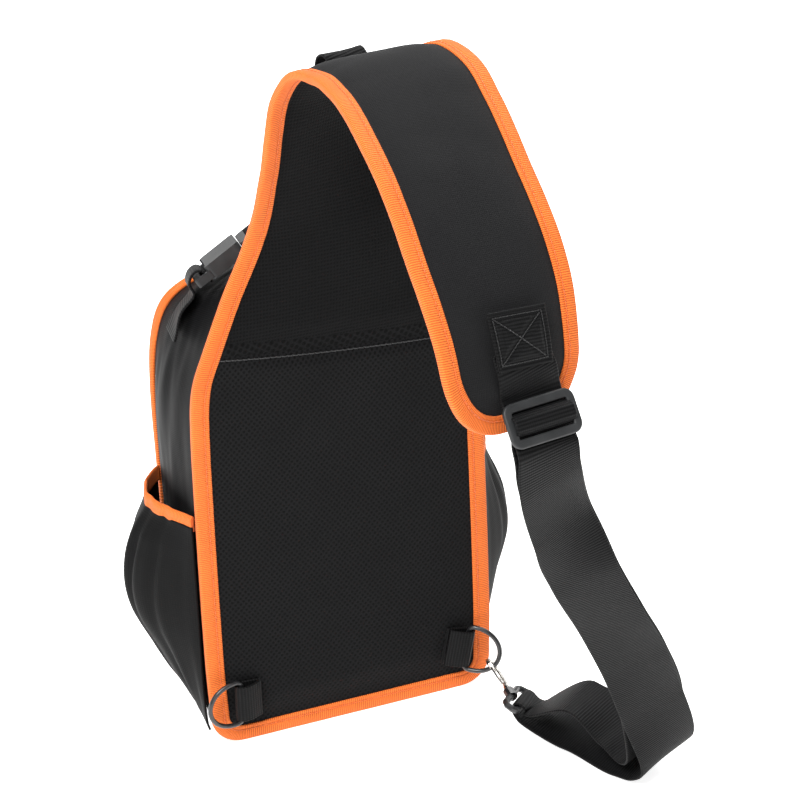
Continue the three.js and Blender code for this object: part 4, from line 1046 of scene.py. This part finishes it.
class BAG_OT_pockets(bpy.types.Operator):
    """Make the two gathered stretch pockets and the orange tape on their mouths"""

    bl_idname = "sling_bag.pockets"
    bl_label = "Side pockets"

    def execute(self, context):
        for side, name in ((-1, "left"), (1, "right")):
            cloth = laid(
                96, 90,
                lambda u, v: pocket_point(side, u, v * 1.02, 1.5),
                lambda u, v: (u * 95, v * 140),
            )
            outwards(cloth, (side * 60, 40, 80))
            finished(
                f"pocket_{name}_cloth", cloth, finish_of("pocket"),
                nodes=(f"pocket_{name}",), wall=1.3)
            section = (
                (0.0, -0.2), (0.0, 1.0), (0.0, 4.6), (0.0, 7.4), (0.25, 9.0), (0.9, 9.9), (1.6, 9.6),
                (2.3, 8.6), (2.6, 7.0), (2.5, 5.2), (2.3, 4.2), (2.5, 3.0), (2.5, 1.4), (2.1, 0.2), (1.2, -0.4),
            )

            def tape_at(u, v):
                out, up = section[round(u * len(section)) % len(section)]
                return pocket_point(side, v, 1.0, out, up)

            def tape_pattern(u, v):
                return round(u * len(section)) * 1.3, v * 90

            tape = laid(len(section), 110, tape_at, tape_pattern, around=True, caps=True)
            finished(f"pocket_{name}_tape", tape, finish_of("tape"), nodes=(f"pocket_tape_{name}",))
        return {"FINISHED"}


# ------------------------------------------------------------------ rings and tabs
RING_Z, RING_X, RING_Y = 31.0, 71.0, -5.0
RING_WIRE = 2.8


def tilted(side, tilt, out, y, up):
    c, s = math.cos(math.radians(tilt)), math.sin(math.radians(tilt))
    return Vector((side * (RING_X + out * c + up * s), y, RING_Z + up * c - out * s))


def ring_path(side, swing, tilt):
    half = 26 / 2 + RING_WIRE / 2
    reach, corner = 21.0, 4.0
    flat = [(0.0, mix(-half + corner, half - corner, i / 6)) for i in range(7)]
    for i in range(1, 7):
        a = math.radians(15 * i)
        flat.append((corner - corner * math.cos(a), half - corner + corner * math.sin(a)))
    for i in range(1, 36):
        a = math.radians(90 - 5 * i)
        flat.append((corner + (reach - corner) * math.cos(a) ** 0.9, half * math.sin(a)))
    for i in range(6):
        a = math.radians(90 - 15 * i)
        flat.append((corner - corner * math.cos(a), -half + corner - corner * math.sin(a)))
    turn = math.radians(swing)
    return [tilted(side, tilt, r * math.cos(turn), RING_Y - r * math.sin(turn), up) for r, up in flat]


def ring_tab(side, tilt):
    reach = RING_WIRE / 2 + 0.3 + 0.6 + WEB_THICK / 2

    def face(x):
        return panel_face(RING_Z, x) - 0.4 - WEB_THICK / 2

    path = [(RING_X - 12, face(RING_X - 12) - WEB_THICK - 0.3), (RING_X - 5, RING_Y - reach + 0.6)]
    for i in range(7):
        a = math.radians(-90 + 30 * i)
        path.append((RING_X + reach * math.cos(a), RING_Y + reach * math.sin(a)))
    path.append((RING_X - 5, face(RING_X - 5)))
    path.append((RING_X - 13, face(RING_X - 13)))
    wide = tilted(side, tilt, 0, 0, 1) - tilted(side, tilt, 0, 0, 0)
    return [(tilted(side, tilt, x - RING_X, y, 0), wide, 24.0) for x, y in path]


class BAG_OT_rings(bpy.types.Operator):
    """Make the two D-rings at the panel's foot and the webbing tabs that hold them"""

    bl_idname = "sling_bag.rings"
    bl_label = "D-rings"

    def execute(self, context):
        for side, name, swing, tilt, body in ((-1, "left", 8, 0, "left_ring"), (1, "right", 36, 12, "bag")):
            wire = rod(ring_path(side, swing, tilt), RING_WIRE / 2, 16, looped=True)
            finished(f"ring_{name}_wire", wire, finish_of("wire"), body, (f"d_ring_{name}",))
            tab = webbing(ring_tab(side, tilt), step=0.9)
            finished(f"ring_tab_{name}", tab, finish_of("webbing"), nodes=(f"d_tab_{name}",))
        return {"FINISHED"}


# ------------------------------------------------------------------ shoulder webbing
GLIDE_S = S_END - 5.3
GLIDE_AT = place(GLIDE_S, 6.8, pad_outer(GLIDE_S - 26, 10) + 8.5)
GLIDE_DOWN = Vector((0.080, -0.582, -0.809)).normalized()
GLIDE_WIDE = Vector((0.961, 0.261, -0.092))
GLIDE_WIDE = (GLIDE_WIDE - GLIDE_DOWN * GLIDE_WIDE.dot(GLIDE_DOWN)).normalized()
GLIDE_OUT = GLIDE_DOWN.cross(GLIDE_WIDE)


def on_glide(down, wide, out):
    return GLIDE_AT + GLIDE_DOWN * down + GLIDE_WIDE * wide + GLIDE_OUT * out


HOOK_BASE = Vector((89, -50, 13.5))
BASE_WIDE = Vector((0.59, 0.76, -0.25)).normalized()
RING_BOW = tilted(
    1, 12,
    (4 + 17 * math.cos(math.radians(90 - 180 * 6 / 13)) ** 0.9) * math.cos(math.radians(36)),
    RING_Y - (4 + 17 * math.cos(math.radians(90 - 180 * 6 / 13)) ** 0.9) * math.sin(math.radians(36)),
    14.4 * math.sin(math.radians(90 - 180 * 6 / 13)),
)


def heading(yaw, rise):
    y, r = math.radians(yaw), math.radians(rise)
    return Vector((math.cos(y) * math.cos(r), math.sin(y) * math.cos(r), math.sin(r)))


FALL = (
    (0.249, -1.053, 0.857, 10, 14), (0.341, -0.965, 0.726, 10, 23),
    (0.457, -0.917, 0.589, -21, 18), (0.597, -0.851, 0.460, -25, 17),
    (0.733, -0.777, 0.332, -15, 18), (0.847, -0.708, 0.199, -3, 19),
    (0.945, -0.643, 0.062, 12, 19),
)
THREADED = (
    (-15.5, -2.9), (-10.6, -3.2), (-7.3, -2.9), (-5.2, 0), (-3.0, 3.0), (0, 3.3),
    (3.0, 3.0), (5.2, 0), (7.3, -2.9), (10.6, -3.4), (16, -3.8),
)
PATCH_S = S_END - 48
PATCH_X = 2.5


# The crossed seam that holds the patch, as lines of (x, s) from its middle
PATCH_LINES = (
    ((-16, -12), (16, -12), (16, 12), (-16, 12), (-16, -12)),
    ((-16, -12), (16, 12)),
    ((-16, 12), (16, -12)),
)


def patch_lift(x, s):
    """How far the patch stands off the pad: pulled down along its seam, full between."""
    near = 99.0
    for line in PATCH_LINES:
        for (x1, s1), (x2, s2) in zip(line, line[1:]):
            run = math.hypot(x2 - x1, s2 - s1)
            k = clamp(((x - x1) * (x2 - x1) + (s - s1) * (s2 - s1)) / run**2)
            near = min(near, math.hypot(x - mix(x1, x2, k), s - mix(s1, s2, k)))
    rim = min(19 - abs(x), 15 - abs(s))
    return 4.2 + 1.3 * ease(near / 4.2) + 0.5 * ease(rim / 0.7)


def on_pad(s, x, lift):
    return place(s, x, pad_outer(s, x) + lift)


def strap_rows():
    """The webbing's way from the patch through the adjuster, down, round the hook and back."""
    base_dir = RING_BOW - HOOK_BASE
    base_dir = (base_dir - BASE_WIDE * base_dir.dot(BASE_WIDE)).normalized()
    base_up = base_dir.cross(BASE_WIDE) * -1
    r = 2.1 + 0.5 + WEB_THICK / 2
    turn = (
        (-6, -r - 0.4), (0, -r), (0.75 * r, -0.7 * r), (r, 0), (0.75 * r, 0.7 * r), (0, r), (-6, r + 0.8),
    )
    rows = []
    for s, x, lift in ((PATCH_S + 4, PATCH_X, 2.2), (PATCH_S + 16, PATCH_X + 1.5, 3.0)):
        rows.append((on_pad(s, x, lift), (on_pad(s, 16, 0) - on_pad(s, 0, 0)).normalized(), 40.0))
    for down, out in THREADED:
        rows.append((on_glide(down, 0, out), GLIDE_WIDE, 40.0))
    for x, y, z, yaw, rise in FALL:
        rows.append((Vector((x * 150, y * PAD_REACH, z * 330)), heading(yaw, rise), 40.0))
    rows.append((Vector((138, -131, 10.5)), heading(18, 18), 40.0))
    rows.append((Vector((131, -117, 6.5)), heading(25, 12), 40.0))
    rows.append((Vector((112, -82, 6.0)), heading(40, 4), 37.0))
    for along, up in turn:
        rows.append((HOOK_BASE + base_dir * along + base_up * up, BASE_WIDE, 26.0))
    rows.append((Vector((112, -82, 31)), heading(44, -2), 37.0))
    rows.append((Vector((128, -107, 21)), heading(34, 8), 40.0))
    rows.append((Vector((135, -128, 20)), heading(20, 17), 40.0))
    for x, y, z, yaw, rise in reversed(FALL[:6]):
        p = Vector((x * 150, y * PAD_REACH, z * 330))
        lag = 3.4 + 3.4 * math.sin(math.pi * clamp((p.z - 40) / 260))
        rows.append((p + Vector((0.3 * lag, lag, 0)), heading(yaw, rise), 40.0))
    for down, out in ((17, -8.4), (9, -6.6), (3, -2.9), (-2.2, -2.9)):
        rows.append((on_glide(down, 0, out), GLIDE_WIDE, 40.0))
    return rows


class BAG_OT_webbing(bpy.types.Operator):
    """Make the shoulder webbing, its sewn patch and the grab loop"""

    bl_idname = "sling_bag.webbing"
    bl_label = "Webbing"

    def execute(self, context):
        web = finish_of("webbing")
        finished("shoulder_strap", webbing(strap_rows()), web, nodes=("shoulder_webbing",))

        def patch_at(u, v):
            s = PATCH_S + mix(15, -15, v)
            x = PATCH_X + mix(-19, 19, u)
            return on_pad(s, x, patch_lift(u * 38 - 19, 15 - v * 30))

        patch = laid(116, 92, patch_at, lambda u, v: (u * 38, v * 30))
        outwards(patch, (0, -200, 330))
        finished("webbing_patch", patch, web, nodes=("web_patch",), wall=1.0)
        seams = []
        for line in PATCH_LINES:
            path = []
            for (x1, s1), (x2, s2) in zip(line, line[1:]):
                for i in range(24):
                    x, s = mix(x1, x2, i / 24), mix(s1, s2, i / 24)
                    foot = on_pad(PATCH_S + s, PATCH_X + x, patch_lift(x, s))
                    path.append((foot, (on_pad(PATCH_S + s, PATCH_X + x, 9) - foot).normalized()))
            seams.append(stitched(path, 2.6, 0.3, 0.12))
        finished("patch_stitches", joined(seams), finish_of("black_thread"))

        base = place(381, 22, pad_outer(381, 22) + 0.9 + WEB_THICK / 2)
        sewn = (place(381, 32, 0) - place(381, 12, 0)).normalized()
        back = Vector((-sewn.y, sewn.x, 0))
        loop = (
            (0.4, 0), (1.8, 16), (3.0, 32), (7, 43), (12, 46), (17, 43), (18.5, 32), (13, 15), (3.4, 1),
        )
        rows = [
            (base + back * out + Vector((0.06 * up, 0, up)), sewn.lerp(Vector((1, 0.06, -0.03)), ease(up / 36)), 25.0)
            for out, up in loop
        ]
        finished("grab_strap", webbing(rows, step=1.6), web, nodes=("grab_loop",))
        return {"FINISHED"}


# ------------------------------------------------------------------ hardware
CLOSE_FRONT = Vector((-67, 41, 286.5))
CLOSE_DIR = Vector((0.86, 0, 0.51)).normalized()
CLOSE_WIDE = Vector((-0.19, -0.92, 0.345))
CLOSE_WIDE = (CLOSE_WIDE - CLOSE_DIR * CLOSE_WIDE.dot(CLOSE_DIR)).normalized()
CLOSE_UP = CLOSE_WIDE.cross(CLOSE_DIR)


def on_closure(along, wide, up):
    return CLOSE_FRONT + CLOSE_DIR * along + CLOSE_WIDE * wide + CLOSE_UP * up


CLOSE_BROAD = 22.0  # width of the closure strap


class BAG_OT_closure(bpy.types.Operator):
    """Make the closure straps over the top and finish their buckle"""

    bl_idname = "sling_bag.closure"
    bl_label = "Closure strap and buckle"

    def execute(self, context):
        web = finish_of("webbing")
        # round the buckle's bar first, then down to where it is sewn on the gusset
        turn = ((8.6, -0.6), (8.6, 5), (6.6, 9), (2, 9.4), (-2.6, 6), (-4, 0))
        side = [(on_closure(a, 0, up), CLOSE_WIDE, CLOSE_BROAD) for a, up in turn]
        side.append((Vector((-78.2, 41, 275)), CLOSE_WIDE, CLOSE_BROAD))
        side.append((Vector((-85.0, 41, 260)), Vector((-0.1, -0.98, 0.12)), CLOSE_BROAD))
        finished("closure_strap_side", webbing(side, step=1.2), web, nodes=("closure_tape_side",))
        top = [(on_closure(a, 0, up), CLOSE_WIDE, CLOSE_BROAD) for a, up in ((38, 1.1), (58, 1.1), (64, 1.6))]
        top += [
            (Vector((4, 41, 317.6)), Vector((0, -0.94, 0.34)), CLOSE_BROAD),
            (Vector((35, 41, 311.8)), Vector((0.1, -0.94, 0.33)), CLOSE_BROAD),
            (Vector((59, 41, 297)), Vector((0.15, -0.94, 0.31)), CLOSE_BROAD),
            (Vector((76.4, 41, 277)), Vector((0.17, -0.94, 0.26)), CLOSE_BROAD),
            (Vector((85.1, 41, 261)), Vector((0.12, -0.98, 0.12)), CLOSE_BROAD),
        ]
        finished("closure_strap_top", webbing(top, step=2.0), web, nodes=("closure_tape_top",))
        for node in ("buckle_socket", "buckle_plug"):
            dress(node, "plastic")
        return {"FINISHED"}


BAR_CORNERS = tuple(
    (sx * (0.5 - r * (1 - math.cos(a))), sy * (0.5 - q * (1 - math.sin(a))))
    for sx, sy, r, q, turns in (
        (1, 1, 0.22, 0.36, (0, 30, 60, 90)), (-1, 1, 0.22, 0.36, (90, 60, 30, 0)),
        (-1, -1, 0.22, 0.36, (0, 30, 60, 90)), (1, -1, 0.22, 0.36, (90, 60, 30, 0)),
    )
    for a in (math.radians(t) for t in turns)
)


def flat_bar(path, up, wide, thick, looped):
    """A moulded bar with rounded corners along points, lying square to a direction."""
    count = len(path)
    frames, far = [], [0.0]
    for i, point in enumerate(path):
        before = path[i - 1] if looped or i else path[0]
        after = path[(i + 1) % count] if looped or i < count - 1 else path[-1]
        side = (after - before).normalized().cross(up).normalized()
        frames.append((point, side))
        far.append(far[-1] + (path[(i + 1) % count] - point).length)
    if looped:
        frames.append(frames[0])
    last = len(frames) - 1

    def at(u, v):
        point, side = frames[round(v * last)]
        across, out = BAR_CORNERS[round(u * len(BAR_CORNERS)) % len(BAR_CORNERS)]
        return point + side * (across * wide) + up * (out * thick)

    def pattern(u, v):
        return u * 2 * (wide + thick), far[round(v * last)]

    return laid(len(BAR_CORNERS), last, at, pattern, around=True, along=looped, caps=not looped)


def dress(node, finish):
    """Gives a CAD node that stays its better material."""
    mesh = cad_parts[node].data
    mesh.materials.clear()
    mesh.materials.append(finish_of(finish))


class BAG_OT_hardware(bpy.types.Operator):
    """Finish the strap adjuster and the snap hook with its gate and base"""

    bl_idname = "sling_bag.hardware"
    bl_label = "Adjuster and hook"

    def execute(self, context):
        frame_bar = []
        # half the length and the height of the frame's middle line, and its corner radius
        long, tall, turn = 20.9, 9.9, 3.6
        for sx, sy, first in ((1, 1, 0), (-1, 1, 90), (-1, -1, 180), (1, -1, 270)):
            cx, cy = sx * (long - turn), sy * (tall - turn)
            for i in range(7):
                a = math.radians(first + 15 * i)
                frame_bar.append((cx + turn * math.cos(a), cy + turn * math.sin(a)))
        ring = [on_glide(y, x, 0) for x, y in frame_bar]
        parts = [flat_bar(ring, GLIDE_OUT, 5.2, 2.8, True)]
        parts.append(flat_bar([on_glide(0, w, 0.1) for w in (-20.0, -10, 0, 10, 20.0)], GLIDE_OUT, 4.0, 2.2, False))
        finished("strap_adjuster", joined(parts), finish_of("plastic"), nodes=("tri_glide",))
        dress("hook_base", "wire")
        dress("hook_body", "nickel")
        dress("hook_gate", "nickel")
        return {"FINISHED"}


# ------------------------------------------------------------------ stage
CAMERA_TURN = (-19.9, 30.5, 2.5)  # degrees round the bag, above it and rolled
CAMERA_PLACE = (-0.81718, -2.40704, 1.68759)  # metres


class BAG_OT_stage(bpy.types.Operator):
    """Make the pale floor, the soft studio lights and the camera"""

    bl_idname = "sling_bag.stage"
    bl_label = "Studio"

    def execute(self, context):
        studio = context.scene.sling_bag_studio
        bm = bmesh.new()
        bmesh.ops.create_grid(bm, x_segments=8, y_segments=8, size=6.0)
        mesh = bpy.data.meshes.new("floor")
        bm.to_mesh(mesh)
        bm.free()
        mesh.materials.append(finish_of("floor"))
        floor = bpy.data.objects.new("floor", mesh)
        context.scene.collection.objects.link(floor)

        # a product shot on white, so the tones stay as they are lit
        context.scene.view_settings.view_transform = "Standard"
        world = bpy.data.worlds.new("studio")
        context.scene.world = world
        world.use_nodes = True
        sky = world.node_tree.nodes["Background"]
        sky.inputs["Color"].default_value = (1, 1, 1, 1)
        sky.inputs["Strength"].default_value = studio.fill

        for name, spot, power, size in (
            ("key_light", Vector((-1.3, -1.1, 2.6)), studio.key_power, 1.6),
            ("back_light", Vector((1.2, 1.4, 2.2)), studio.key_power * 0.5, 1.8),
        ):
            light = bpy.data.lights.new(name, "AREA")
            light.energy = power
            light.size = size
            lamp = bpy.data.objects.new(name, light)
            lamp.location = spot
            lamp.rotation_euler = (spot - Vector((0, 0, 0.2))).to_track_quat("Z", "Y").to_euler()
            context.scene.collection.objects.link(lamp)

        azimuth, elevation, roll = (math.radians(a) for a in CAMERA_TURN)
        level = math.cos(elevation)
        back = Vector((math.sin(azimuth) * level, -math.cos(azimuth) * level, math.sin(elevation)))
        right = Vector((math.cos(azimuth), math.sin(azimuth), 0))
        up = back.cross(right)
        across = right * math.cos(roll) - up * math.sin(roll)
        upright = right * math.sin(roll) + up * math.cos(roll)
        eye = bpy.data.cameras.new("camera")
        eye.lens = studio.lens
        eye.sensor_width = 36
        eye.clip_end = 50
        camera = bpy.data.objects.new("camera", eye)
        turn = Matrix((across, upright, back)).transposed().to_4x4()
        camera.matrix_world = Matrix.Translation(Vector(CAMERA_PLACE)) @ turn
        context.scene.collection.objects.link(camera)
        context.scene.camera = camera
        return {"FINISHED"}


class BagLooks(bpy.types.PropertyGroup):
    """Colours of the bag"""

    tape_colour: bpy.props.FloatVectorProperty(
        name="Tape colour", description="Orange on the ribs of the edge tape",
        subtype="COLOR", size=3, min=0, max=1, default=linear("#f37a2b"))
    # painted shade: the darker orange that the furrows between the tape's ribs get
    tape_furrow_painted_shade: bpy.props.FloatVectorProperty(
        name="Tape furrows", description="Deeper orange between the ribs",
        subtype="COLOR", size=3, min=0, max=1, default=linear("#9c3a08"))


class BagStudio(bpy.types.PropertyGroup):
    """Light and camera"""

    key_power: bpy.props.FloatProperty(
        name="Key light", description="Power of the main softbox", default=130.0, min=0, unit="POWER")
    fill: bpy.props.FloatProperty(
        name="Fill", description="Strength of the even white surroundings", default=0.4, min=0)
    lens: bpy.props.FloatProperty(
        name="Lens", description="Focal length for a 36 mm wide frame, in millimetres", default=226.8, min=10)


class BAG_PT_panel(bpy.types.Panel):
    """Lists the bag's makers"""

    bl_label = "Sling tool bag"
    bl_idname = "BAG_PT_panel"
    bl_space_type = "VIEW_3D"
    bl_region_type = "UI"
    bl_category = "Sling bag"

    def draw(self, context):
        layout = self.layout
        for group in (context.scene.sling_bag_looks, context.scene.sling_bag_studio):
            for key in group.__annotations__:
                layout.prop(group, key)
        for maker in MAKERS:
            layout.operator(maker.bl_idname)


MAKERS = (
    BAG_OT_padding, BAG_OT_binding, BAG_OT_body, BAG_OT_pockets, BAG_OT_rings,
    BAG_OT_webbing, BAG_OT_closure, BAG_OT_hardware, BAG_OT_stage,
)


def register():
    for kind in (BagLooks, BagStudio, *MAKERS, BAG_PT_panel):
        bpy.utils.register_class(kind)
    bpy.types.Scene.sling_bag_looks = bpy.props.PointerProperty(type=BagLooks)
    bpy.types.Scene.sling_bag_studio = bpy.props.PointerProperty(type=BagStudio)


def unregister():
    del bpy.types.Scene.sling_bag_looks
    del bpy.types.Scene.sling_bag_studio
    for kind in reversed((BagLooks, BagStudio, *MAKERS, BAG_PT_panel)):
        bpy.utils.unregister_class(kind)


def main():
    register()
    bpy.ops.sling_bag.padding()
    bpy.ops.sling_bag.binding()
    bpy.ops.sling_bag.body()
    bpy.ops.sling_bag.pockets()
    bpy.ops.sling_bag.rings()
    bpy.ops.sling_bag.webbing()
    bpy.ops.sling_bag.closure()
    bpy.ops.sling_bag.hardware()
    bpy.ops.sling_bag.stage()


if __name__ == "__main__":
    main()
